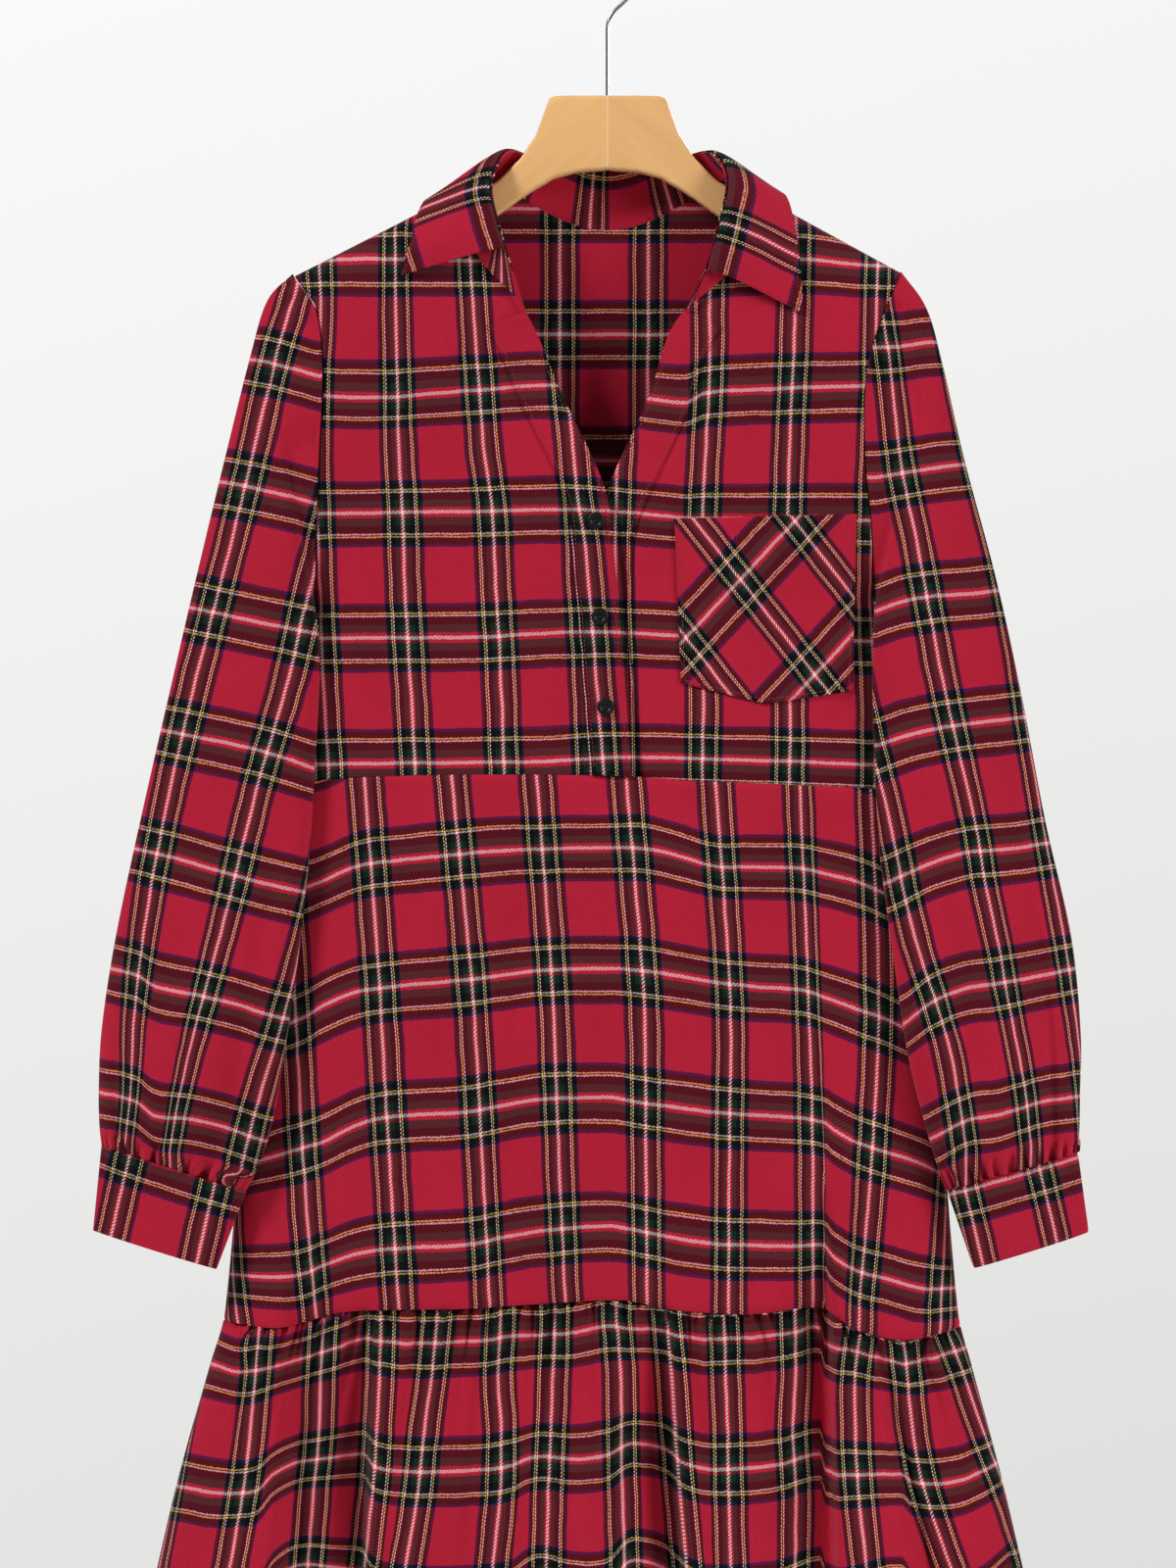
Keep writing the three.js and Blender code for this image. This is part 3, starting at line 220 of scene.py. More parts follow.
RUFFLE_GATHERS = 20
RUFFLE_GATHER_DEPTH = 4.2
RUFFLE_GATHER_RISE = 8
RUFFLE_GATHER_FALL = 60
RUFFLE_TUCKS = 44  # small tucks close under the seam
RUFFLE_TUCK_DEPTH = 4.0
RUFFLE_TUCK_FALL = 17
BAND_KEPT = 12  # width beside a line that the folds of the ruffle never take up
RUFFLE_SET_BACK = 2.8  # how far the gathered edge lies behind the skirt's
HEM_STITCH_SHARE = 0.94
ARMHOLE_GAP = 0.45

SLEEVE_COLUMNS = "outerX outerZ outerY innerX innerZ innerY front back"
SLEEVE_LEFT = columns(SLEEVE_COLUMNS, [
    (-222, -237, -8, -193.5, -433, -7, 13, 10),
    (-233, -273, -7, -192.5, -440, -12, 15, 11),
    (-250, -341, -6, -190, -456, -18, 16, 11),
    (-269, -420, -6, -189.5, -488, -21, 16, 10),
    (-285, -489, -6, -192, -535, -23, 17, 9),
    (-305, -577, -7, -196, -600, -24, 19, 9),
    (-321, -653, -8, -203, -665, -25, 21, 10),
    (-330, -712, -9, -212, -728, -26, 23, 11),
    (-332, -752, -10, -220, -774, -25, 22, 11),
    (-331.5, -776, -11, -229.5, -803, -24, 17, 10),
    (-330, -789, -12, -237, -818, -23, 10, 8),
])
SLEEVE_RIGHT = columns(SLEEVE_COLUMNS, [
    (209, -241, -8, 175.5, -433, -7, 13, 10),
    (219.5, -277, -7, 174.5, -440, -12, 15, 11),
    (234, -340, -6, 173.5, -456, -18, 16, 11),
    (254, -415, -6, 173, -488, -21, 16, 10),
    (270, -487, -6, 174, -530, -23, 17, 9),
    (287, -577, -7, 177.5, -597, -24, 19, 9),
    (304, -653, -8, 186, -663, -25, 21, 10),
    (310, -716, -9, 195.5, -728, -26, 23, 11),
    (309.5, -756, -10, 206, -771, -25, 22, 11),
    (309, -780, -11, 214.5, -800, -24, 17, 10),
    (308, -794, -12, 221.5, -818, -23, 10, 8),
])
CUFF_FOOT_LEFT = columns(SLEEVE_COLUMNS, [(-335.5, -845, -13, -256.5, -869, -22, 10.5, 8.5)])
CUFF_FOOT_RIGHT = columns(SLEEVE_COLUMNS, [(315, -846, -13, 239, -869, -22, 10.5, 8.5)])

ROLL_LINE = columns("x y z", [
    (-67, -29, -204), (-73, -28, -184), (-77, -22, -160), (-67, -5, -137), (-46, 17, -139),
    (0, 25, -142), (46, 17, -139), (70, -5, -138), (79, -22, -158), (74, -28, -184), (65, -30, -218),
])
LEAF_EDGE = columns("x z face lift", [
    (-135, -221, -1, 3), (-130, -202, -1, 4.6), (-123, -174, -1, 6), (-115, -171, 1, 6),
    (-88, -188, 1, 5), (0, -199, 1, 5), (88, -188, 1, 5), (111, -168, 1, 6),
    (119, -170, -1, 6), (125, -205, -1, 4.2), (128, -246, -1, 3),
])
LEAF_SWELL = 3.2
STAND_LIFT = 2
STAND_INSET = 2.8
STAND_FRONT_PART = 0.3
COLLAR_LEAN = (0.45, 22)

BUTTON_RADIUS = 5.6
BUTTON_THICKNESS = 2.6
BUTTON_EYE = 1.5  # half the distance between its two eyes
BUTTONS = {"button_top": (-7.7, -381), "button_middle": (-5, -443.5), "button_bottom": (-1.3, -502.5)}

HANGER_THICKNESS = 11
HANGER_EDGE = 3
HANGER_EDGE_SHARE = 0.3
HANGER_HALF = columns("x top foot", [
    (0, -101, -150), (20, -101, -151.5), (35, -101.3, -155.5), (38.5, -103.5, -157.5),
    (41.5, -112, -159.5), (47, -127, -162.5), (57, -142, -169), (72, -157, -180),
    (90, -168, -191), (120, -184, -209), (155, -202.5, -227), (174, -213.5, -236),
    (182, -219, -238.5), (185.5, -225, -235),
])

WIRE_RADIUS = 1.2
HOOK_INNER_RADIUS = 20
CROOK_START = -45
CROOK_END = 200
CROOK_STEP = 15
STEM = [
    (0, HANGER_TOP_Z + SEAM_GAP), (0, -90), (0, -78), (0, -66), (0, -57), (0.9, -51), (4, -45.8),
    (9.2, -40.9),
]

# The tartan's repeat, across between upright lines and along between cross lines, and its
# threads from the white centre line outward, as widths in millimetres. The colours are display
# values, because threads that cross in a twill blend to the eye as such.
UPRIGHT_REPEAT = 57
CROSS_REPEAT = 83
THREADS = {
    "white": (0.98, 0.91, 0.89),
    "yellow": (0.94, 0.84, 0.50),
    "red": (0.752, 0.202, 0.302),
    "green": (0.04, 0.26, 0.19),
    "blue": (0.07, 0.10, 0.40),
    "black": (0.03, 0.03, 0.045),
}
DISPLAY_GAMMA = 2.8
UPRIGHT_STRIPES = [
    ("white", 0.8), ("red", 1.2), ("green", 2.7), ("black", 3.0), ("white", 0.75), ("black", 0.6),
    ("yellow", 0.7), ("black", 2.15), ("blue", 1.2),
]
CROSS_STRIPES = [
    ("white", 1.0), ("red", 2.4), ("green", 5.1), ("black", 5.4), ("white", 0.95), ("black", 0.8),
    ("yellow", 0.9), ("black", 4.25), ("blue", 1.9),
]
TWILL_ACROSS = 2.4  # repeat of the twill's diagonals across and along
TWILL_ALONG = 2.4
EVEN_UPRIGHTS = 5  # lines to each side of the first on a back panel
TO_FRONT = np.array((0.0, -1.0, 0.0))
DRESS_REACH = 400


def photo_x(pixel):
    """Place across the dress of a pixel column of the photograph."""
    return (np.asarray(pixel, float) - CENTRE_PIXEL_X) * MM_PER_PIXEL


def photo_z(pixel):
    """Height of a pixel row of the photograph."""
    return HANGER_TOP_Z - (np.asarray(pixel, float) - HANGER_TOP_PIXEL) * MM_PER_PIXEL


def upright_lines(counts, rows):
    """Numbered upright lines: each row is a pixel row and the pixel column of each line there."""
    rows = np.array(rows, float)
    return {"at": photo_z(rows[:, 0]), "lines": photo_x(rows[:, 1:]), "counts": counts}


def cross_lines(places, heights):
    """Cross lines: the pixel columns where they are given, and a row of pixel heights for each."""
    return {"at": photo_x(places), "lines": photo_z(heights).T, "counts": range(len(heights))}


def traced_lines(places, lines, fall_left=0, fall_right=0):
    """Cross lines from their own readings, each a column and a height, falling on beyond them."""
    heights = []
    for line in lines:
        column, height = np.array(line, float).T
        before = np.maximum(0, column[0] - places)
        beyond = np.maximum(0, places - column[-1])
        heights.append(np.interp(places, column, height) + fall_left * before + fall_right * beyond)
    return cross_lines(places, heights)


def even_uprights(first_x, rows):
    """Upright lines evenly apart, a row for each height and the distance between them there."""
    counts = np.arange(-EVEN_UPRIGHTS, EVEN_UPRIGHTS + 1)
    heights, apart = np.array(rows, float).T
    return {"at": heights, "lines": first_x + np.outer(apart, counts), "counts": counts}


def even_crosses(first_z, count):
    """Level cross lines a repeat apart, the same at both sides of the dress."""
    lines = np.stack([first_z - np.arange(count) * CROSS_REPEAT] * 2)
    return {"at": np.array((-DRESS_REACH, DRESS_REACH)), "lines": lines, "counts": range(count)}


# The tartan's lines on each panel, as pixels of the photograph. Where a fold hides cloth, two
# places in a row have numbers that lie further apart than they do.
FRONT_LEFT_UPRIGHTS = upright_lines((1, 2, 3), [
    (240, 403, 478, 566), (330, 404, 484, 572), (460, 407, 494, 585), (517, 410.5, 502, 590),
    (598, 413, 506, 594), (667, 417, 510, 598), (781, 424, 514.5, 603),
])
FRONT_RIGHT_UPRIGHTS = upright_lines((4, 5, 6, 7), [
    (240, 635, 724, 813, 901), (379, 634, 724, 809, 897), (500, 629, 718, 804, 892),
    (600, 628, 716, 804, 891), (708, 632, 717.7, 806, 893), (781, 634, 716.6, 806, 893),
])
FRONT_CROSSES = cross_lines((330, 380, 488, 558, 620, 698, 720, 810, 880), [
    (264, 264, 266, 267, 268, 268, 268, 264, 270),
    (404, 406, 398, 393, 400, 411, 401, 396, 393),
    (524, 523, 522, 520, 521, 528, 529, 530, 531),
    (651, 651, 650, 646, 645, 649, 650, 652, 654),
    (780, 779, 778, 777, 773, 773.5, 774.5, 777, 780),
])
SKIRT_UPRIGHTS = upright_lines((-1, 0, 1, 2, 3, 4, 5, 6, 6.15, 6.5, 7, 8), [
    (793, 195, 283, 372, 461, 547.5, 639, 730, 816, 826, 851, 888, 962),
    (1020, 222, 307, 388, 483, 564, 657, 745, 825, 835, 851, 897, 963),
    (1175, 231, 318, 397, 492, 570, 659, 744, 829, 841, 846, 890, 961),
    (1330, 240, 330, 407, 500, 577, 660, 743, 830, 842, 846, 876, 958),
])
SKIRT_PLACES = np.array((
    240, 285, 310, 330, 365, 400, 475, 510, 552, 620, 658, 690, 730, 765, 817, 842, 849, 872, 905, 940, 971,
))
SKIRT_CROSSES = traced_lines(SKIRT_PLACES, [
    [
        (324, 902), (356, 885), (418, 876), (510, 868), (590, 865), (640, 865), (665, 866), (691, 873),
        (730, 884), (780, 885), (817, 886), (849, 893), (880, 901), (895, 907),
    ],
    [
        (305, 1042), (324, 1028), (367, 1011), (418, 1004), (464, 1001), (510, 995), (539, 991),
        (567, 989), (640, 988), (682, 994), (721, 1001), (765, 1006), (817, 1010), (849, 1020),
        (880, 1031), (904, 1040), (919, 1046),
    ],
    [
        (289, 1177.5), (332, 1164.5), (363, 1147.5), (398, 1139.5), (475, 1134.5), (552, 1121.5),
        (618, 1119.5), (658, 1125.5), (730, 1134.5), (765, 1137.5), (816, 1140.5), (842, 1145.5),
        (848, 1150.5), (872, 1164.5), (909, 1177.5), (950, 1191.5),
    ],
    [
        (240, 1302.5), (281, 1303.5), (309, 1300.5), (327, 1292.5), (347, 1283.5), (383, 1274.5),
        (424, 1272.5), (475, 1269.5), (526, 1260.5), (577, 1251.5), (618, 1250.5), (634, 1251.5),
        (658, 1256.5), (687, 1262.5), (730, 1268.5), (767, 1270.5), (842, 1271.5), (848, 1280.5),
        (869, 1294.5), (901, 1303.5), (936, 1314.5), (971, 1316.5),
    ],
], fall_left=0.3, fall_right=0.6)
RUFFLE_UPRIGHTS = upright_lines(range(-1, 13), [
    (1345, 182, 265, 330, 389, 446, 511, 566, 629, 680, 739, 811, 880, 920, 962),
    (1400, 178, 261, 327, 388, 441, 508.5, 564.5, 633, 685, 740, 812, 872, 925, 983),
    (1460, 174, 256, 325, 385, 433, 511.5, 562, 634, 689, 742, 809, 872, 931, 1004),
    (1520, 168, 249, 320, 381, 427, 510.5, 559.5, 635, 693.5, 743, 812, 875, 943, 1027),
    (1600, 150, 235, 314, 372, 414, 503, 557.6, 637, 701, 745, 811, 883, 970, 1054),
])
RUFFLE_PLACES = np.array((
    190, 216, 243, 264, 280, 304, 339, 371, 385, 414, 495, 521, 546, 583, 620, 640, 655, 679, 692, 724,
    796, 838, 842, 865, 919, 931, 970, 1000, 1030,
))
RUFFLE_CROSSES = traced_lines(RUFFLE_PLACES, [
    [
        (190, 1392), (216, 1394), (243, 1400), (264, 1397), (280, 1394), (304, 1388.5), (347, 1374),
        (361, 1368), (371, 1366), (425, 1370), (446, 1367), (500, 1367), (521, 1363), (548, 1362),
        (583, 1359), (620, 1352), (640, 1355), (652, 1355), (679, 1358), (691, 1362), (724, 1365),
        (784, 1365), (796, 1362), (814, 1361), (838, 1356), (842, 1371), (865, 1376), (895, 1388),
        (925, 1391), (952, 1385), (982, 1379), (1000, 1375),
    ],
    [
        (190, 1519), (200, 1520), (232, 1524), (264, 1518), (280, 1502), (304, 1493), (339, 1488),
        (371, 1486), (385, 1494), (414, 1498), (495, 1498), (521, 1494), (545.6, 1485), (583, 1486),
        (620, 1482), (640, 1473), (655, 1473), (673, 1479), (688, 1480), (694, 1492), (724, 1496),
        (799, 1493), (838, 1485), (842, 1500), (865, 1502), (919, 1503), (931, 1512), (970, 1511),
        (1000, 1503), (1020, 1494), (1040, 1488),
    ],
])
SLEEVE_LEFT_UPRIGHTS = upright_lines((0, 1, 2), [
    (290, 304, 395, 486), (369, 280, 371, 462), (475, 256, 347, 438), (572, 232, 321, 410),
    (692, 201, 295.5, 387), (802, 175, 264, 352), (917, 153, 236, 322), (1028, 139, 206.5, 290),
    (1115, 135, 185, 258), (1174, 128, 175, 236),
])
SLEEVE_LEFT_CROSSES = cross_lines((100, 140, 160, 200, 240, 280, 325), [
    (336, 343, 347, 354, 363, 371, 384), (466, 474, 478, 487, 494, 503, 514),
    (596, 606, 611, 621, 630, 638, 648), (729, 739, 744, 752, 760, 770, 786),
    (858, 867, 871, 881, 893, 903, 914), (987, 995, 1006, 1014, 1023, 1036, 1047),
    (1115, 1123, 1137, 1141, 1152, 1166, 1178),
])
SLEEVE_RIGHT_UPRIGHTS = upright_lines((-1, 0, 1), [
    (300, 810, 898, 960), (366, 820, 908, 972), (475, 832, 920, 997), (569, 850, 938, 1022),
    (657, 866, 954, 1040), (739, 883, 971, 1051), (834, 906, 993, 1065), (913, 922, 1006.6, 1078),
    (965, 935, 1018, 1087), (1020, 953, 1027, 1096), (1075, 969, 1038, 1104), (1115, 976, 1045, 1108),
    (1170, 985, 1051, 1112),
])
SLEEVE_RIGHT_CROSSES = cross_lines((895, 920, 950, 985, 1020, 1060, 1100), [
    (354.5, 353, 348.5, 347, 344, 340, 336), (487, 483, 478, 473, 468, 463, 458),
    (623, 614, 609, 606, 602, 598, 594), (761, 752, 744.5, 739, 735, 730, 725),
    (905, 893, 880, 869.5, 867, 862, 857), (1062, 1046, 1021, 1008, 1002.5, 995.5, 988),
    (1195, 1178, 1161, 1142, 1136, 1124, 1119),
])
BACK_UPRIGHTS = even_uprights(-31.4, [(-150, 58.5), (-550, 57)])
BACK_CROSSES = even_crosses(-173.5, 6)
SKIRT_BACK_UPRIGHTS = even_uprights(18, [(-548, 57), (-892, 56)])
RUFFLE_BACK_UPRIGHTS = even_uprights(14, [(-895, 41), (-1098, 50)])

# Folds of the sleeves: soft troughs from one share of the length and turn round the ring to
# another; turns run from 0 at the outer fold over the front to 180 degrees at the inner fold
SLEEVE_CREASE_COLUMNS = "v0 turn0 v1 turn1 wide inward"
SLEEVE_LEFT_CREASES = columns(SLEEVE_CREASE_COLUMNS, [
    (-0.06, 52, 0.20, 62, 9, 3.0), (-0.06, 88, 0.15, 96, 8, 2.6), (-0.05, 26, 0.14, 30, 8, 2.2),
    (0.22, 128, 0.52, 104, 13, 1.8), (0.45, 44, 0.80, 60, 12, 1.8), (0.60, 96, 1.04, 74, 9, 3.8),
    (0.50, 132, 1.04, 116, 12, 5.0), (0.70, 34, 1.02, 44, 8, 3.2), (0.15, 250, 0.60, 262, 14, 1.8),
    (0.60, 290, 1.02, 270, 11, 2.4), (-0.05, 300, 0.18, 296, 9, 2.2),
])
SLEEVE_RIGHT_CREASES = columns(SLEEVE_CREASE_COLUMNS, [
    (-0.06, 60, 0.16, 70, 9, 2.4), (-0.06, 32, 0.18, 40, 8, 2.2), (0.24, 120, 0.50, 92, 13, 1.8),
    (0.55, 50, 1.03, 54, 6, 4.2), (0.50, 118, 0.90, 100, 11, 3.2), (0.78, 84, 1.02, 88, 7, 2.8),
    (0.74, 130, 1.02, 122, 8, 3.0), (0.18, 255, 0.62, 268, 14, 1.8), (0.62, 282, 1.02, 262, 11, 2.4),
    (-0.05, 300, 0.18, 296, 9, 2.2),
])


def mix(a, b, t):
    return a + (b - a) * t


def smooth(t):
    s = np.clip(t, 0, 1)
    return s * s * (3 - 2 * s)


def through(keys, values, at):
    """Value at places along a curve through values at rising or falling keys."""
    if keys[-1] < keys[0]:
        keys = keys[::-1]
        values = values[::-1]
    count = len(keys)
    i = np.clip(np.searchsorted(keys, at) - 1, 0, count - 2)
    low = np.maximum(np.arange(count) - 1, 0)
    high = np.minimum(np.arange(count) + 1, count - 1)
    slope = (values[high] - values[low]) / (keys[high] - keys[low])
    span = keys[i + 1] - keys[i]
    t = np.clip((at - keys[i]) / span, 0, 1)
    t2 = t * t
    t3 = t2 * t
    start = (2 * t3 - 3 * t2 + 1) * values[i] + (t3 - 2 * t2 + t) * span * slope[i]
    return start + (3 * t2 - 2 * t3) * values[i + 1] + (t3 - t2) * span * slope[i + 1]


def along(table, key, at, column):
    return through(table[key], table[column], at)


def bands_kept(step, width):
    """Share of the way between two lines where the bands beside them keep their own scale."""
    kept = np.minimum(BAND_KEPT, 0.45 * width)
    out = step * width
    left = width - out
    ends = (np.minimum(out, kept) + kept - np.minimum(left, kept)) / UPRIGHT_REPEAT
    field = np.clip(out - kept, 0, width - 2 * kept) / (width - 2 * kept)
    return ends + field * (1 - 2 * kept / UPRIGHT_REPEAT)


def line_count(table, at, value, folded=False):
    """Number of the tartan line at a value, in parts of a repeat between two lines."""
    counts = table["counts"]
    places = [through(table["at"], table["lines"][:, i], at) for i in range(len(counts))]
    last = len(counts) - 2
    total = counts[0] + np.zeros(np.shape(value))
    for i in range(last + 1):
        step = (value - places[i]) / (places[i + 1] - places[i])
        step = np.clip(step, -np.inf if i == 0 else 0, np.inf if i == last else 1)
        if folded:
            step = bands_kept(step, places[i + 1] - places[i])
        total = total + step * (counts[i + 1] - counts[i])
    return total


def side_x(column, z):
    return along(BODY, "z", z, column)


def shoulder_z(x):
    tip_x = np.where(x < 0, TIP_LEFT[0], TIP_RIGHT[0])
    tip_z = np.where(x < 0, TIP_LEFT[1], TIP_RIGHT[1])
    t = np.maximum(0, (np.abs(x) - NECK_POINT_X) / (np.abs(tip_x) - NECK_POINT_X))
    return mix(NECK_POINT_Z, tip_z, t)


def middle_y(x, z):
    share = x / TIP_LEFT[0]
    return -SHOULDER_SWEEP * share * share * smooth((z - SWEEP_FOOT_Z) / SWEEP_FADE)


def depth_share(x, z):
    middle = (side_x("left", z) + side_x("right", z)) / 2
    aside = np.abs((x - middle) / side_x("spread", z))
    side = np.sqrt(np.maximum(0, 1 - np.minimum(1, aside) ** SIDE_POWER))
    below = np.clip((shoulder_z(x) - z) / SHOULDER_ROUND, 0, 1)
    return side * np.sqrt(1 - (1 - below) ** 2)


def troughs(table, x, z):
    total = 0
    for i in range(len(table["top"])):
        t = np.clip((table["topZ"][i] - z) / (table["topZ"][i] - HEM_Z), 0, 1)
        aside = x - mix(table["top"][i], table["foot"][i], t)
        wide = np.where(aside < 0, table["wide_low"][i], table["wide_high"][i])
        total = total + table["inward"][i] * smooth(t * TROUGH_OPENING) * np.exp(-((aside / wide) ** 2))
    return total


def creases(table, x, z):
    """Sum of soft troughs along straight lines, each fading at both its ends."""
    total = 0
    for i in range(len(table["x0"])):
        x0, z0, x1, z1 = (table[name][i] for name in ("x0", "z0", "x1", "z1"))
        length = math.hypot(x1 - x0, z1 - z0)
        down = ((x - x0) * (x1 - x0) + (z - z0) * (z1 - z0)) / length**2
        aside = ((x - x0) * -(z1 - z0) + (z - z0) * (x1 - x0)) / length
        wide = np.where(aside < 0, table["wide_low"][i], table["wide_high"][i])
        fade = np.sqrt(np.sin(np.pi * np.clip(down, 0, 1)))
        total = total + table["inward"][i] * fade * np.exp(-((aside / wide) ** 2))
    return total


def front_y(x, z):
    share = depth_share(x, z)
    inward = (troughs(FRONT_TROUGHS, x, z) + creases(FRONT_CREASES, x, z)) * share
    return middle_y(x, z) - HALF_GAP - along(BODY, "z", z, "front") * share + inward


def back_y(x, z):
    share = depth_share(x, z)
    inward = (troughs(BACK_TROUGHS, x, z) + creases(BACK_CREASES, x, z)) * share
    return middle_y(x, z) + HALF_GAP + along(BODY, "z", z, "back") * share - inward


def right_front_y(x, z):
    lap_edge = along(EDGE_LEFT, "z", z, "x")
    across = 1 - smooth((x - lap_edge - UNDERLAP_START) / UNDERLAP_FADE)
    down = smooth((CROSSING_Z + CROSSING_FADE - z) / CROSSING_FADE)
    groove = LAP_GROOVE * np.exp(-(((x - lap_edge - LAP_GROOVE_PLACE) / LAP_GROOVE_WIDTH) ** 2))
    shown = smooth((CROSSING_Z + LAP_GROOVE_FADE / 2 - z) / LAP_GROOVE_FADE)
    return front_y(x, z) + UNDERLAP * across * down + groove * shown


def patch(top, foot, start, end):
    """Places (x, z) inside four edges, each a function of a share."""
    def place(u, v):
        result = []
        for k in (0, 1):
            ruled = mix(top(u)[k], foot(u)[k], v) + mix(start(v)[k], end(v)[k], u)
            upper = mix(top(0.0)[k], top(1.0)[k], u)
            lower = mix(foot(0.0)[k], foot(1.0)[k], u)
            result.append(ruled - mix(upper, lower, v))
        return result
    return place


def raised(flat, depth, out=0):
    """Surface over a patch, moved out by some depth."""
    def surface(u, v):
        x, z = flat(u, v)
        return np.stack([x, depth(x, z) - out, z], axis=-1)
    return surface


def edge_point(table):
    return lambda v: (along(table, "share", v, "x"), along(table, "share", v, "z"))


def side_edge(column, from_z, to_z):
    def edge(v):
        z = mix(from_z, to_z, v)
        return side_x(column, z), z
    return edge


def seam_end_z(table, column):
    rounds = 4
    z = table["z"][0]
    for _ in range(rounds):
        z = along(table, "x", side_x(column, z), "z")
    return z


WAIST_LEFT_Z = seam_end_z(WAIST_SEAM, "left")
WAIST_RIGHT_Z = seam_end_z(WAIST_SEAM, "right")
RUFFLE_LEFT_Z = seam_end_z(RUFFLE_SEAM_FRONT, "left")
RUFFLE_RIGHT_Z = seam_end_z(RUFFLE_SEAM_FRONT, "right")


def waist_seam_z(x):
    return along(WAIST_SEAM, "x", x, "z")


def ruffle_front_z(x):
    return along(RUFFLE_SEAM_FRONT, "x", x, "z")


def ruffle_back_z(x):
    return along(RUFFLE_SEAM_BACK, "x", x, "z")


def edge_at(height, from_x, to_x, shift):
    def edge(u):
        x = mix(from_x, to_x, u)
        return x, height(x) + shift
    return edge


def before_middle(points):
    points[..., 1] = np.minimum(points[..., 1], middle_y(points[..., 0], points[..., 2]) - HALF_GAP)


def behind_middle(points):
    points[..., 1] = np.maximum(points[..., 1], middle_y(points[..., 0], points[..., 2]) + HALF_GAP)


# Meshes


def full_turn(count):
    """Angles evenly round a full turn."""
    return np.arange(count) / count * 2 * math.pi


def grid(surface, across, down):
    u, v = np.meshgrid(across, down)
    return surface(u, v)


def grid_normals(points, toward, ring=False):
    """Unit normals of a grid of points, from its own neighbours."""
    if ring:
        padded = np.concatenate([points[:, -1:], points, points[:, :1]], axis=1)
        across = np.gradient(padded, axis=1)[:, 1:-1]
    else:
        across = np.gradient(points, axis=1)
    down = np.gradient(points, axis=0)
    normal = np.cross(across, down) * toward
    return normal / np.maximum(np.linalg.norm(normal, axis=-1, keepdims=True), 1e-9)


def wall_faces(rows, cols, ring):
    """Corner numbers of a closed wall of two layers, for points and for their cloth places."""
    wide = cols + 1 if ring else cols
    point_id = np.arange(2 * rows * cols).reshape(2, rows, cols)
    if ring:
        point_id = np.concatenate([point_id, point_id[:, :, :1]], axis=2)
    place_id = np.arange(2 * rows * wide).reshape(2, rows, wide)
    result = []
    for ids in (point_id, place_id):
        outer, inner = ids
        quads = [
            np.stack([outer[:-1, :-1], outer[1:, :-1], outer[1:, 1:], outer[:-1, 1:]], -1).reshape(-1, 4),
            np.stack([inner[:-1, :-1], inner[:-1, 1:], inner[1:, 1:], inner[1:, :-1]], -1).reshape(-1, 4),
            np.stack([outer[0, :-1], outer[0, 1:], inner[0, 1:], inner[0, :-1]], -1),
            np.stack([outer[-1, :-1], inner[-1, :-1], inner[-1, 1:], outer[-1, 1:]], -1),
        ]
        if not ring:
            quads.append(np.stack([outer[:-1, 0], inner[:-1, 0], inner[1:, 0], outer[1:, 0]], -1))
            quads.append(np.stack([outer[:-1, -1], outer[1:, -1], inner[1:, -1], inner[:-1, -1]], -1))
        result.append(np.concatenate(quads))
    return result


def ring_faces(rows, cols):
    """Corner numbers of rings of points, and the faces between one ring and the next."""
    ids = np.arange(rows * cols).reshape(rows, cols)
    wrapped = np.concatenate([ids, ids[:, :1]], axis=1)
    quads = [wrapped[:-1, :-1], wrapped[1:, :-1], wrapped[1:, 1:], wrapped[:-1, 1:]]
    return ids, np.stack(quads, -1).reshape(-1, 4)


def signed_volume(points, quads):
    a, b, c, d = (points[quads[:, k]] for k in range(4))
    first = np.einsum("ij,ij->i", a, np.cross(b, c)).sum()
    return first + np.einsum("ij,ij->i", a, np.cross(c, d)).sum()


SHARP_ANGLE = math.radians(50)


def new_object(name, points, quads, places=None, place_ids=None):
    """A mesh object in metres, faces out, with its cloth places as a UV map."""
    if signed_volume(points, quads) < 0:
        quads = quads[:, ::-1]
        place_ids = None if place_ids is None else place_ids[:, ::-1]
    mesh = bpy.data.meshes.new(name)
    mesh.vertices.add(len(points))
    mesh.vertices.foreach_set("co", (points * MM).astype(np.float32).ravel())
    mesh.loops.add(quads.size)
    mesh.loops.foreach_set("vertex_index", quads.astype(np.int32).ravel())
    mesh.polygons.add(len(quads))
    mesh.polygons.foreach_set("loop_start", np.arange(0, quads.size, 4, dtype=np.int32))
    if places is not None:
        cloth_map = mesh.uv_layers.new(name="cloth")
        cloth_map.data.foreach_set("uv", (places[place_ids.ravel()] * MM).astype(np.float32).ravel())
    mesh.update(calc_edges=True)
    mesh.validate()
    mesh.polygons.foreach_set("use_smooth", np.ones(len(mesh.polygons), dtype=bool))
    mesh.set_sharp_from_angle(angle=SHARP_ANGLE)
    obj = bpy.data.objects.new(name, mesh)
    bpy.context.scene.collection.objects.link(obj)
    return obj


def row_arcs(points):
    """Distance of each point along its row of a grid."""
    steps = np.linalg.norm(np.diff(points, axis=1), axis=-1)
    return np.concatenate([np.zeros((len(points), 1)), np.cumsum(steps, axis=1)], axis=1)


def column_arcs(points):
    steps = np.linalg.norm(np.diff(points, axis=0), axis=-1)
    return np.concatenate([np.zeros((1, points.shape[1])), np.cumsum(steps, axis=0)], axis=0)


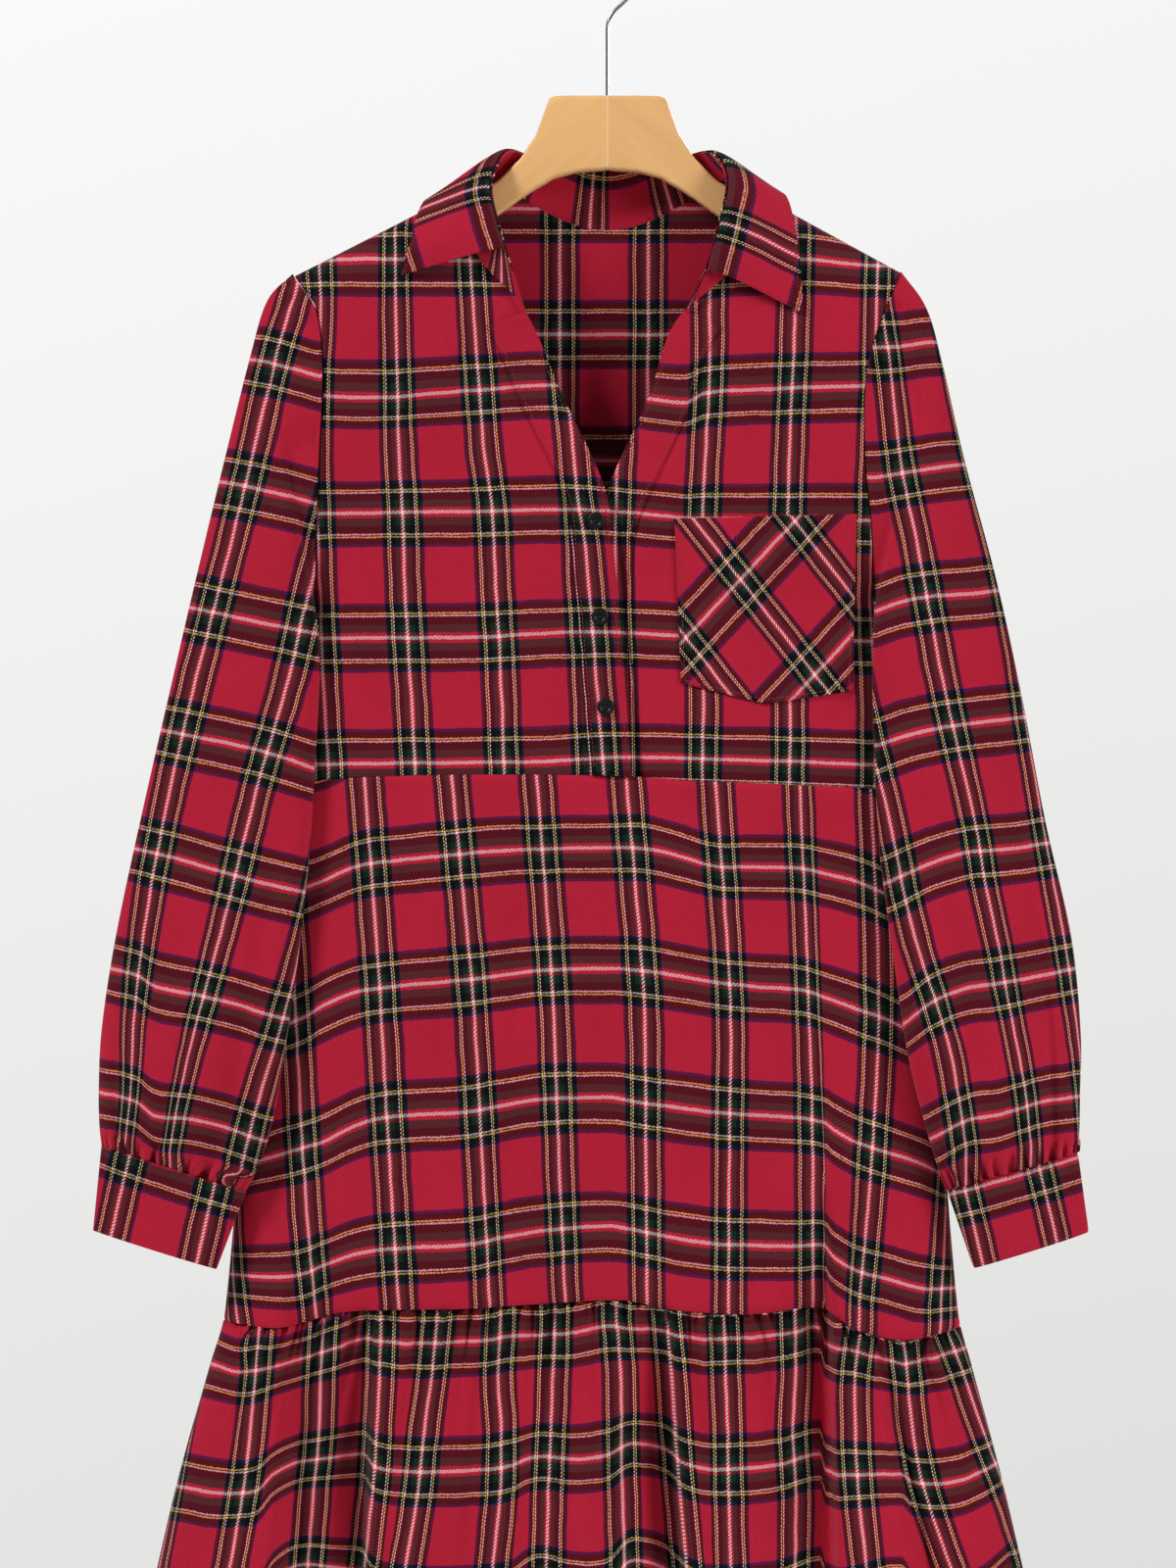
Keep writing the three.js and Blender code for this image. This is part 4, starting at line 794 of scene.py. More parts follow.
def arcs_beyond(points, counts, low, high):
    """Line numbers across a grid, carried on by the cloth's own length beyond two of them."""
    result = counts.copy()
    arcs = row_arcs(points) / UPRIGHT_REPEAT
    for i, row in enumerate(points):
        arc = arcs[i] if row[-1, 0] > row[0, 0] else -arcs[i]
        order = np.argsort(counts[i])
        arc_low, arc_high = np.interp((low, high), counts[i][order], arc[order])
        result[i] = np.where(counts[i] < low, low + arc - arc_low, result[i])
        result[i] = np.where(counts[i] > high, high + arc - arc_high, result[i])
    return result


def cloth_places(points, uprights, crosses, low, high, folded=False):
    """Cloth place of each point of a panel, in millimetres across and down its tartan."""
    x, z = points[..., 0], points[..., 2]
    across = arcs_beyond(points, line_count(uprights, z, x, folded), low, high)
    return np.stack([across * UPRIGHT_REPEAT, line_count(crosses, x, z) * CROSS_REPEAT], axis=-1)


def edge_distance(points, sides="left right top foot"):
    """Distance of each point of a grid from the nearest of its edges."""
    across, down = row_arcs(points), column_arcs(points)
    far = {
        "left": across, "right": across[:, -1:] - across,
        "top": down, "foot": down[-1:] - down,
    }
    return np.minimum.reduce([far[side] for side in sides.split()])


def sewn_edge(distance, drop=EDGE_DROP, press=STITCH_PRESS):
    """How far a sewn edge's outside sinks: rounded away at the edge, pressed in at the stitches."""
    rounded = drop * (1 - np.sqrt(1 - (1 - np.clip(distance / EDGE_TURN, 0, 1)) ** 2))
    return rounded + press * np.exp(-(((distance - STITCH_INSET) / 0.8) ** 2))


def shell(name, points, toward, places, keep=None, ring=False, wall=WALL, sink=None):
    """Closed cloth wall behind a grid of outer points. places is the cloth place of each."""
    normals = grid_normals(points, toward, ring)
    inner = points - normals * wall
    outer = points.copy() if sink is None else points - normals * sink[..., None]
    if keep is not None:
        keep(outer)
        keep(inner, SEAM_SLANT)
    rows, cols = points.shape[:2]
    quads, place_ids = wall_faces(rows, cols, ring)
    both = np.concatenate([outer.reshape(-1, 3), inner.reshape(-1, 3)])
    return new_object(name, both, quads, np.concatenate([places.reshape(-1, 2)] * 2), place_ids)


SEAM_SLANT = 0.7  # how much higher a seam lies inside than outside, so that it lets no light through


def level_ends(top_seam, foot_seam, keep_side):
    """Keeps the first and last row of a grid half a gap from their seams."""
    def keep(points, rise=0):
        if top_seam is not None:
            points[0, :, 2] = top_seam(points[0, :, 0]) - HALF_GAP + rise
        if foot_seam is not None:
            points[-1, :, 2] = foot_seam(points[-1, :, 0]) + HALF_GAP + rise
        keep_side(points)
    return keep


# Materials


def new_material(name):
    material = bpy.data.materials.new(name)
    material.use_nodes = True
    tree = material.node_tree
    shader = tree.nodes["Principled BSDF"]
    return material, tree, shader


class Nodes:
    """Short calls for a material's nodes: each returns an output socket."""

    def __init__(self, tree):
        self.tree = tree

    def add(self, kind, **settings):
        node = self.tree.nodes.new(kind)
        for key, value in settings.items():
            setattr(node, key, value)
        return node

    def put(self, socket, value):
        if isinstance(value, bpy.types.NodeSocket):
            self.tree.links.new(value, socket)
        else:
            socket.default_value = value

    def math(self, operation, *values):
        node = self.add("ShaderNodeMath", operation=operation)
        for socket, value in zip(node.inputs, values):
            self.put(socket, value)
        return node.outputs[0]

    def mix(self, factor, a, b, blend="MIX"):
        node = self.add("ShaderNodeMix", data_type="RGBA", blend_type=blend)
        self.put(node.inputs["Factor"], factor)
        self.put(node.inputs[6], a)
        self.put(node.inputs[7], b)
        return node.outputs[2]

    def noise(self, vector, scale, detail=2.0, roughness=0.5):
        node = self.add("ShaderNodeTexNoise")
        self.put(node.inputs["Vector"], vector)
        self.put(node.inputs["Scale"], scale)
        self.put(node.inputs["Detail"], detail)
        self.put(node.inputs["Roughness"], roughness)
        return node.outputs["Fac"]

    def spread(self, value, low, high):
        """A value from 0 to 1, spread from low to high."""
        return self.math("MULTIPLY_ADD", value, high - low, low)


def stripe_ramp(nodes, coordinate, repeat, stripes):
    """Colour of the threads in one direction: stripes from the centre line, then the red field."""
    half = repeat / 2
    distance = nodes.math("PINGPONG", coordinate, half * MM)
    share = nodes.math("DIVIDE", distance, half * MM)
    ramp = nodes.add("ShaderNodeValToRGB")
    nodes.put(ramp.inputs["Fac"], share)
    ramp.color_ramp.interpolation = "CONSTANT"
    elements = ramp.color_ramp.elements
    elements[0].position = 0
    elements[0].color = (*THREADS[stripes[0][0]], 1)
    reach = stripes[0][1]
    elements[1].position = reach / half
    elements[1].color = (*THREADS[stripes[1][0]], 1)
    reach += stripes[1][1]
    for colour, width in stripes[2:] + [("red", 0)]:
        element = elements.new(reach / half)
        element.color = (*THREADS[colour], 1)
        reach += width
    return ramp.outputs["Color"]


LIGHT_THREAD_PROUD = 0.12  # how much more of a white or yellow thread shows than of what it crosses


def light_threads(nodes, colour):
    grey = nodes.add("ShaderNodeRGBToBW")
    nodes.put(grey.inputs[0], colour)
    return nodes.math("GREATER_THAN", grey.outputs[0], 0.5)


# Sizes of the cloth's noise are repeats in a metre; its shifts and its bump are in metres
FIBRE_SCALE = 1500
WANDER_SCALE = 45
NAP_SCALE = 2600
SHADE_SCALE = 14
WANDER = 0.0014
CROSS_FRAY = 0.0022
UPRIGHT_FRAY = 0.0008
TWILL_BUMP = 0.00016
PLAIN_FLOAT = 0.14  # how far the twill mixes warp and weft, and how much more on light threads
LIGHT_FLOAT = 0.24


def toned(nodes, colour, level):
    """A colour made lighter or darker by a level near 1."""
    grey = nodes.add("ShaderNodeCombineXYZ")
    for socket in grey.inputs:
        nodes.put(socket, level)
    return nodes.mix(1.0, colour, grey.outputs[0], "MULTIPLY")


def add_bump(nodes, shader, height, distance, strength):
    bump = nodes.add("ShaderNodeBump")
    nodes.put(bump.inputs["Height"], height)
    bump.inputs["Distance"].default_value = distance
    bump.inputs["Strength"].default_value = strength
    nodes.put(shader.inputs["Normal"], bump.outputs[0])


def tartan(name):
    """Brushed twill in a red tartan, laid out on the cloth map in metres."""
    material, tree, shader = new_material(name)
    nodes = Nodes(tree)
    cloth = nodes.add("ShaderNodeUVMap", uv_map="cloth").outputs["UV"]
    split = nodes.add("ShaderNodeSeparateXYZ")
    nodes.put(split.inputs[0], cloth)
    across, down = split.outputs[0], split.outputs[1]
    stretched = nodes.add("ShaderNodeMapping")
    nodes.put(stretched.inputs["Vector"], cloth)
    nodes.put(stretched.inputs["Scale"], (0.45, 1.0, 1.0))
    fibres = nodes.noise(stretched.outputs[0], FIBRE_SCALE, 2.0, 0.6)
    wander = nodes.noise(cloth, WANDER_SCALE, 1.0)
    centred = nodes.math("SUBTRACT", fibres, 0.5)
    wander_shift = nodes.math("MULTIPLY", nodes.math("SUBTRACT", wander, 0.5), WANDER)
    cross_place = nodes.math("ADD", down, nodes.math("MULTIPLY_ADD", centred, CROSS_FRAY, wander_shift))
    upright_place = nodes.math("ADD", across, nodes.math("MULTIPLY_ADD", centred, UPRIGHT_FRAY, wander_shift))
    warp = stripe_ramp(nodes, upright_place, UPRIGHT_REPEAT, UPRIGHT_STRIPES)
    weft = stripe_ramp(nodes, cross_place, CROSS_REPEAT, CROSS_STRIPES)
    turn_across = nodes.math("MULTIPLY", across, 2 * math.pi / (TWILL_ACROSS * MM))
    turn_down = nodes.math("MULTIPLY", down, 2 * math.pi / (TWILL_ALONG * MM))
    wave = nodes.math("SINE", nodes.math("ADD", turn_across, turn_down))
    light_warp, light_weft = light_threads(nodes, warp), light_threads(nodes, weft)
    float_share = nodes.math("MULTIPLY_ADD", light_warp, LIGHT_FLOAT, PLAIN_FLOAT)
    proud = nodes.math("SUBTRACT", light_weft, light_warp)
    middle = nodes.math("MULTIPLY_ADD", proud, LIGHT_THREAD_PROUD, 0.5)
    share = nodes.math("MULTIPLY_ADD", wave, float_share, middle)
    woven = nodes.mix(share, warp, weft)
    nap = nodes.noise(cloth, NAP_SCALE, 1.0, 0.7)
    napped = nodes.mix(nodes.spread(nap, 0.0, 0.12), woven, (*THREADS["red"], 1))
    shade = nodes.noise(cloth, SHADE_SCALE, 3.0)
    level = nodes.math("MULTIPLY", nodes.spread(shade, 0.95, 1.05), nodes.spread(fibres, 0.88, 1.12))
    display = toned(nodes, napped, level)
    gamma = nodes.add("ShaderNodeGamma")
    nodes.put(gamma.inputs["Color"], display)
    gamma.inputs["Gamma"].default_value = DISPLAY_GAMMA
    nodes.put(shader.inputs["Base Color"], gamma.outputs[0])
    shader.inputs["Roughness"].default_value = 0.95
    shader.inputs["Specular IOR Level"].default_value = 0.15
    shader.inputs["Sheen Weight"].default_value = 0.14
    shader.inputs["Sheen Roughness"].default_value = 0.4
    shader.inputs["Sheen Tint"].default_value = (1.0, 0.72, 0.72, 1)
    height = nodes.math("ADD", nodes.math("MULTIPLY", wave, 0.35), nodes.math("MULTIPLY", fibres, 1.3))
    add_bump(nodes, shader, height, TWILL_BUMP, 0.7)
    return material


MITRE_HIGHLIGHT_WIDTH = 0.45  # painted highlight: a light line where the hanger's two halves meet
MITRE_HIGHLIGHT_COLOUR = (0.86, 0.60, 0.34, 1)
WOOD_DARK = (0.80, 0.44, 0.17, 1)
WOOD_LIGHT = (0.89, 0.51, 0.205, 1)
GRAIN_BUMP = 0.00008


def honey_wood():
    """Satin varnished wood in two halves that meet in a mitred joint at the middle, with painted light on the
    left half, painted shade on the right half and a painted highlight along the joint.
    """
    material, tree, shader = new_material("honey_wood")
    nodes = Nodes(tree)
    place = nodes.add("ShaderNodeTexCoord").outputs["Object"]
    split = nodes.add("ShaderNodeSeparateXYZ")
    nodes.put(split.inputs[0], place)
    side = nodes.math("SIGN", split.outputs[0])
    aside = nodes.math("ABSOLUTE", split.outputs[0])
    turned = nodes.add("ShaderNodeCombineXYZ")
    nodes.put(turned.inputs[0], split.outputs[0])
    nodes.put(turned.inputs[1], nodes.math("MULTIPLY_ADD", side, 0.3, split.outputs[1]))
    nodes.put(turned.inputs[2], nodes.math("MULTIPLY_ADD", aside, 0.9, split.outputs[2]))
    grain_map = nodes.add("ShaderNodeMapping")
    nodes.put(grain_map.inputs["Vector"], turned.outputs[0])
    nodes.put(grain_map.inputs["Scale"], (5.0, 34.0, 34.0))
    grain = nodes.noise(grain_map.outputs[0], 2.2, 4.0, 0.55)
    fine_map = nodes.add("ShaderNodeMapping")
    nodes.put(fine_map.inputs["Vector"], turned.outputs[0])
    nodes.put(fine_map.inputs["Scale"], (60.0, 900.0, 900.0))
    fine = nodes.noise(fine_map.outputs[0], 1.0, 3.0)
    ramp = nodes.add("ShaderNodeValToRGB")
    nodes.put(ramp.inputs["Fac"], grain)
    elements = ramp.color_ramp.elements
    elements[0].position = 0.3
    elements[0].color = WOOD_DARK
    elements[1].position = 0.72
    elements[1].color = WOOD_LIGHT
    # painted light and shade: the left half is made 3% lighter and the right half 3% darker, for how the
    # light falls on the two arms
    painted_half_shade = nodes.math("MULTIPLY_ADD", side, -0.03, 1.0)
    level = nodes.math("MULTIPLY", painted_half_shade, nodes.spread(fine, 0.96, 1.04))
    grained = toned(nodes, ramp.outputs["Color"], level)
    # painted highlight along the joint where the two halves meet
    mitre_highlight = nodes.math("LESS_THAN", aside, MITRE_HIGHLIGHT_WIDTH * MM)
    nodes.put(shader.inputs["Base Color"], nodes.mix(mitre_highlight, grained, MITRE_HIGHLIGHT_COLOUR))
    nodes.put(shader.inputs["Roughness"], nodes.spread(fine, 0.36, 0.5))
    shader.inputs["Coat Weight"].default_value = 0.2
    shader.inputs["Coat Roughness"].default_value = 0.35
    add_bump(nodes, shader, fine, GRAIN_BUMP, 0.3)
    return material


STEEL_DARK = (0.40, 0.40, 0.41, 1)
STEEL_LIGHT = (0.55, 0.55, 0.56, 1)
RESIN_DARK = (0.003, 0.003, 0.004, 1)
RESIN_LIGHT = (0.010, 0.009, 0.010, 1)
FLOOR_DARK = (0.78, 0.78, 0.77, 1)
FLOOR_LIGHT = (0.84, 0.84, 0.83, 1)


def polished_steel():
    material, tree, shader = new_material("polished_steel")
    nodes = Nodes(tree)
    place = nodes.add("ShaderNodeTexCoord").outputs["Object"]
    scratches = nodes.noise(place, 900, 3.0)
    nodes.put(shader.inputs["Base Color"], nodes.mix(scratches, STEEL_DARK, STEEL_LIGHT))
    nodes.put(shader.inputs["Roughness"], nodes.spread(scratches, 0.16, 0.32))
    shader.inputs["Metallic"].default_value = 1.0
    return material


def black_resin():
    material, tree, shader = new_material("black_resin")
    nodes = Nodes(tree)
    place = nodes.add("ShaderNodeTexCoord").outputs["Object"]
    cloud = nodes.noise(place, 700, 3.0)
    nodes.put(shader.inputs["Base Color"], nodes.mix(cloud, RESIN_DARK, RESIN_LIGHT))
    nodes.put(shader.inputs["Roughness"], nodes.spread(cloud, 0.34, 0.5))
    shader.inputs["Specular IOR Level"].default_value = 0.2
    return material


def sewing_thread(name, colour):
    material, tree, shader = new_material(name)
    nodes = Nodes(tree)
    place = nodes.add("ShaderNodeTexCoord").outputs["Object"]
    twist = nodes.noise(place, 3000, 2.0)
    dark = tuple(c * 0.6 for c in colour)
    nodes.put(shader.inputs["Base Color"], nodes.mix(twist, (*dark, 1), (*colour, 1)))
    shader.inputs["Roughness"].default_value = 0.7
    shader.inputs["Sheen Weight"].default_value = 0.2
    return material


TARTAN = tartan("red_tartan")
WOOD = honey_wood()
STEEL = polished_steel()
RESIN = black_resin()
RED_THREAD = sewing_thread("red_thread", (0.40, 0.02, 0.035))
BLACK_THREAD = sewing_thread("black_thread", (0.005, 0.005, 0.006))


def dress_piece(obj, material, slot, *nodes):
    """Gives a piece its material and its body, and hides the nodes that it replaces. slot is not used."""
    obj.data.materials.append(material)
    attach(obj, BODY_NAME)
    if nodes:
        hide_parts(*nodes)


def cloth_piece(obj, node):
    dress_piece(obj, TARTAN, "tartan", node)


def front_patch(edge, tip, column, waist_z):
    inner = edge_point(edge)
    side = side_edge(column, tip[1], waist_z + HALF_GAP)
    tip_x = side(0.0)[0]
    start_x, start_z = edge["x"][0], edge["z"][0]
    waist = edge_at(waist_seam_z, inner(1.0)[0], side(1.0)[0], HALF_GAP)

    def shoulder(u):
        return mix(start_x, tip_x, u), mix(start_z, tip[1], u)

    return patch(shoulder, waist, inner, side)


LEFT_PATCH = front_patch(EDGE_LEFT, TIP_LEFT, "left", WAIST_LEFT_Z)
RIGHT_PATCH = front_patch(EDGE_RIGHT, TIP_RIGHT, "right", WAIST_RIGHT_Z)


def shares(count, crowd=0.5):
    """Places from 0 to 1, crowded at both ends."""
    t = np.linspace(0, 1, count + 1)
    return mix(t, (1 - np.cos(np.pi * t)) / 2, crowd)


def bodice_fronts():
    across = shares(80)
    down = shares(110, 0.3)
    keep = level_ends(None, waist_seam_z, before_middle)
    for side, flat, depth, toward, uprights, low, high in (
        ("left", LEFT_PATCH, front_y, 1, FRONT_LEFT_UPRIGHTS, 0.8, 3),
        ("right", RIGHT_PATCH, right_front_y, -1, FRONT_RIGHT_UPRIGHTS, 4, 6.6),
    ):
        points = grid(raised(flat, depth), across, down)
        places = cloth_places(points, uprights, FRONT_CROSSES, low, high)
        sink = sewn_edge(edge_distance(points, "foot top right"), 0.7, 0)
        obj = shell(f"cloth_bodice_front_{side}", points, toward, places, keep, sink=sink)
        cloth_piece(obj, f"bodice_front_{side}")


def back_top(u):
    x = mix(side_x("left", TIP_LEFT[1]), side_x("right", TIP_RIGHT[1]), u)
    aside = np.minimum(np.abs(x) / NECK_POINT_X, 1)
    scoop = NECK_POINT_Z - NECK_SCOOP * (1 - aside * aside) ** NECK_SCOOP_POWER
    return x, np.where(np.abs(x) < NECK_POINT_X, scoop, shoulder_z(x))


def bodice_back():
    foot = edge_at(waist_seam_z, side_x("left", WAIST_LEFT_Z), side_x("right", WAIST_RIGHT_Z), HALF_GAP)
    start = side_edge("left", TIP_LEFT[1], WAIST_LEFT_Z + HALF_GAP)
    end = side_edge("right", TIP_RIGHT[1], WAIST_RIGHT_Z + HALF_GAP)
    points = grid(raised(patch(back_top, foot, start, end), back_y), shares(140, 0.3), shares(90, 0.3))
    places = cloth_places(points, BACK_UPRIGHTS, BACK_CROSSES, -3, 3)
    sink = sewn_edge(edge_distance(points, "top foot"), 0.7, 0)
    keep = level_ends(None, waist_seam_z, behind_middle)
    obj = shell("cloth_bodice_back", points, 1, places, keep, sink=sink)
    cloth_piece(obj, "bodice_back")


def placket_band(flat, depth):
    def surface(u, v):
        share = mix(PLACKET_TOP, 1, v)
        start = flat(0.0, share)
        end = flat(1.0, share)
        width = PLACKET_WIDTH / np.hypot(end[0] - start[0], end[1] - start[1])
        x, z = flat(u * width, share)
        return np.stack([x, depth(x, z) - PLACKET_LIFT, z], axis=-1)
    return surface


PLACKET_LINE = 18.5  # from the overlap's edge to its white line
PLACKET_CHANGE = 40  # height over which its lines leave those of the front


def plackets():
    widths = shares(20)
    heights = shares(150, 0.2)
    for side, flat, depth, toward in (
        ("left", LEFT_PATCH, front_y, 1), ("right", RIGHT_PATCH, right_front_y, -1),
    ):
        points = grid(placket_band(flat, depth), widths, heights)
        places = cloth_places(points, FRONT_RIGHT_UPRIGHTS, FRONT_CROSSES, 4, 7)
        if side == "left":
            x, z = points[..., 0], points[..., 2]
            front = line_count(FRONT_LEFT_UPRIGHTS, z, x) * UPRIGHT_REPEAT
            band = 3 * UPRIGHT_REPEAT + PLACKET_LINE - widths[None, :] * PLACKET_WIDTH
            places[..., 0] = mix(front, band, smooth((CROSSING_Z - z) / PLACKET_CHANGE))
        distance = edge_distance(points, "left right")
        obj = shell(f"cloth_placket_{side}", points, toward, places, sink=sewn_edge(distance))
        cloth_piece(obj, f"placket_{side}")
        inset = STITCH_INSET / PLACKET_WIDTH
        for name, share in (("edge", inset), ("sewn", 1 - inset)):
            row = grid(placket_band(flat, depth), np.array([share]), np.linspace(0.01, 0.985, 400))[:, 0]
            stitches(f"stitches_placket_{side}_{name}", row, TO_FRONT)


POCKET_CROSSING = (86.7, -419.3)  # where two white lines cross on the bias
POCKET_CROSS_RISE = math.radians(47)  # the directions of both, out of square as cloth on the bias is
POCKET_UPRIGHT_FALL = math.radians(52)
POCKET_UPRIGHT_REPEAT = 52
POCKET_CROSS_REPEAT = 79
POCKET_SIDE = 118
POCKET_STITCH_STEPS = 200


def pocket():
    (left_top, right_top), (left_foot, right_foot) = POCKET_TOP, POCKET_FOOT

    def straight(a, b):
        return lambda t: (mix(a[0], b[0], t), mix(a[1], b[1], t))

    def foot(u):
        first = straight(left_foot, POCKET_POINT)(np.clip(u * 2, 0, 1))
        second = straight(POCKET_POINT, right_foot)(np.clip(u * 2 - 1, 0, 1))
        return [np.where(np.asarray(u) < 0.5, first[k], second[k]) for k in (0, 1)]

    sides = straight(left_top, left_foot), straight(right_top, right_foot)
    flat = patch(straight(left_top, right_top), foot, *sides)
    points = grid(raised(flat, right_front_y, POCKET_LIFT), shares(60), shares(60))
    x, z = points[..., 0], points[..., 2]
    from_x, from_z = x - POCKET_CROSSING[0], z - POCKET_CROSSING[1]
    rise, fall = POCKET_CROSS_RISE, POCKET_UPRIGHT_FALL
    across = (from_x * math.sin(fall) + from_z * math.cos(fall)) / math.sin(rise + fall)
    down = (from_x * math.sin(rise) - from_z * math.cos(rise)) / math.sin(rise + fall)
    places = np.stack([
        across * UPRIGHT_REPEAT / POCKET_UPRIGHT_REPEAT, down * CROSS_REPEAT / POCKET_CROSS_REPEAT,
    ], axis=-1)
    obj = shell("cloth_pocket", points, -1, places, sink=sewn_edge(edge_distance(points)))
    cloth_piece(obj, "pocket")
    inset = STITCH_INSET / POCKET_SIDE
    share = np.linspace(inset, 1 - inset, POCKET_STITCH_STEPS)
    low, high = np.full_like(share, inset), np.full_like(share, 1 - inset)
    surface = raised(flat, right_front_y, POCKET_LIFT)
    for name, u, v in (("start", low, share), ("foot", share, high), ("end", high, share[::-1])):
        stitches(f"stitches_pocket_{name}", surface(u, v), TO_FRONT)


def skirt():
    left, right = side_x("left", WAIST_LEFT_Z), side_x("right", WAIST_RIGHT_Z)
    low_left, low_right = side_x("left", RUFFLE_LEFT_Z), side_x("right", RUFFLE_RIGHT_Z)
    top = edge_at(waist_seam_z, left, right, -HALF_GAP)
    for side, seam, depth, toward, keep_side, uprights, low, high in (
        ("front", ruffle_front_z, front_y, -1, before_middle, SKIRT_UPRIGHTS, 1, 7),
        ("back", ruffle_back_z, back_y, 1, behind_middle, SKIRT_BACK_UPRIGHTS, -3, 3),
    ):
        foot = edge_at(seam, low_left, low_right, HALF_GAP)
        start = side_edge("left", WAIST_LEFT_Z - HALF_GAP, RUFFLE_LEFT_Z + HALF_GAP)
        end = side_edge("right", WAIST_RIGHT_Z - HALF_GAP, RUFFLE_RIGHT_Z + HALF_GAP)
        points = grid(raised(patch(top, foot, start, end), depth), shares(200, 0.2), shares(100, 0.2))
        places = cloth_places(points, uprights, SKIRT_CROSSES, low, high)
        sink = sewn_edge(edge_distance(points, "top foot"), 0.8, 0)
        keep = level_ends(waist_seam_z, seam, keep_side)
        obj = shell(f"cloth_skirt_{side}", points, toward, places, keep, sink=sink)
        cloth_piece(obj, f"skirt_{side}")


def gathers(u, seed, count):
    """Uneven waves across a gathered edge: unlike widths and depths from one seeded draw."""
    draw = np.random.default_rng(seed)
    turn = u * count * 2 * math.pi
    total = 0.62 * np.sin(turn + 1.1 * np.sin(turn * 0.137 + seed))
    for harmonic in (1.63, 2.31, 0.47):
        total = total + 0.3 * np.sin(turn * harmonic + draw.uniform(0, 2 * math.pi))
    return total


RUFFLE_SIDE_SHARE = 0.03  # share of the width over which the gathers fade into the side seams
RUFFLE_TUCK_SPREAD = 0.5  # how unlike the lengths of the tucks are
RUFFLE_TUCK_TURN = 37
RUFFLE_SET_BACK_FALL = 5
RUFFLE_COLUMNS = 380
RUFFLE_ROWS = 64
RUFFLE_ROW_CROWD = 1.35  # above 1, rows crowd under the seam
HEM_STITCH_STEPS = 700


def ruffle():
    left, right = side_x("left", RUFFLE_LEFT_Z), side_x("right", RUFFLE_RIGHT_Z)
    hem_left, hem_right = side_x("left", HEM_Z), side_x("right", HEM_Z)
    for side, seam, depth, toward, keep_side, outward, seed, uprights, low, high in (
        ("front", ruffle_front_z, front_y, -1, before_middle, -1, 3, RUFFLE_UPRIGHTS, 0, 12),
        ("back", ruffle_back_z, back_y, 1, behind_middle, 1, 8, RUFFLE_BACK_UPRIGHTS, -5, 5),
    ):
        top = edge_at(seam, left, right, -HALF_GAP)
        start = side_edge("left", RUFFLE_LEFT_Z - HALF_GAP, HEM_Z)
        end = side_edge("right", RUFFLE_RIGHT_Z - HALF_GAP, HEM_Z)
        flat = patch(top, lambda u: (mix(hem_left, hem_right, u), HEM_Z + 0 * u), start, end)

        def surface(u, v):
            x, z = flat(u, v)
            fall = top(u)[1] - z
            edge = smooth(np.minimum(u, 1 - u) / RUFFLE_SIDE_SHARE)
            opened = smooth(fall / RUFFLE_GATHER_RISE) * np.exp(-fall / RUFFLE_GATHER_FALL)
            wave = gathers(u, seed, RUFFLE_GATHERS) * RUFFLE_GATHER_DEPTH * opened
            uneven = 1 + RUFFLE_TUCK_SPREAD * np.sin(u * RUFFLE_TUCK_TURN + seed)
            faded = np.exp(-fall / (RUFFLE_TUCK_FALL * uneven))
            tuck = gathers(u, seed + 20, RUFFLE_TUCKS) * RUFFLE_TUCK_DEPTH * faded
            set_back = RUFFLE_SET_BACK * np.exp(-fall / RUFFLE_SET_BACK_FALL)
            return np.stack([x, depth(x, z) + outward * ((wave + tuck) * edge - set_back), z], axis=-1)

        points = grid(surface, shares(RUFFLE_COLUMNS, 0.1), shares(RUFFLE_ROWS, 0.0) ** RUFFLE_ROW_CROWD)
        places = cloth_places(points, uprights, RUFFLE_CROSSES, low, high, folded=True)
        keep = level_ends(lambda x: seam(x) - 0.2, lambda x: HEM_Z - HALF_GAP, keep_side)
        sink = sewn_edge(edge_distance(points, "foot"), 0.4, 0)
        obj = shell(f"cloth_ruffle_{side}", points, toward, places, keep, sink=sink)
        cloth_piece(obj, f"ruffle_{side}")
        row = grid(surface, np.linspace(0.01, 0.99, HEM_STITCH_STEPS), np.array([HEM_STITCH_SHARE]))[0]
        stitches(f"stitches_hem_{side}", row, np.array((0.0, float(outward), 0.0)))


# Sleeves and cuffs


def fold_ring(row, turn):
    across = (1 + np.cos(turn)) / 2
    swell = np.where(np.sin(turn) >= 0, row["front"], row["back"])
    y = mix(row["innerY"], row["outerY"], across) - swell * np.sin(turn)
    return np.stack([
        mix(row["innerX"], row["outerX"], across), y, mix(row["innerZ"], row["outerZ"], across),
    ], axis=-1)


def armhole_ring(column, tip, front_depth, turn):
    across = (1 + np.cos(turn)) / 2
    z = mix(UNDERARM_Z, tip[1], across)
    edge = side_x(column, z)
    y = np.where(np.sin(turn) >= 0, front_depth(edge, z), back_y(edge, z))
    return np.stack([edge + np.sign(edge) * ARMHOLE_GAP, y, z], axis=-1)


def curve_between(a, b, c, d, t):
    """Place on a smooth curve through four points, from b at 0 to c at 1."""
    return b + 0.5 * t * (c - a + t * (2 * a - 5 * b + 4 * c - d + t * (3 * (b - c) + d - a)))


def through_rings(rings, steps):
    """Smooth rows between rings of points, steps to each pair."""
    rings = np.array(rings)
    ends = np.concatenate([2 * rings[:1] - rings[1:2], rings, 2 * rings[-1:] - rings[-2:-1]])
    rows = []
    for i in range(len(rings) - 1):
        a, b, c, d = ends[i], ends[i + 1], ends[i + 2], ends[i + 3]
        for step in range(steps):
            t = step / steps
            rows.append(curve_between(a, b, c, d, t))
    rows.append(rings[-1])
    return np.array(rows)


SLEEVE_TURNS = 256
SLEEVE_STEPS = 12


def sleeve_gathers(turn, seed):
    draw = np.random.default_rng(seed)
    total = 0.7 * np.sin(turn * 27 + 1.6 * np.sin(turn * 2 + seed))
    for harmonic in (19, 39, 7):
        total = total + 0.3 * np.sin(turn * harmonic + draw.uniform(0, 2 * math.pi))
    return total


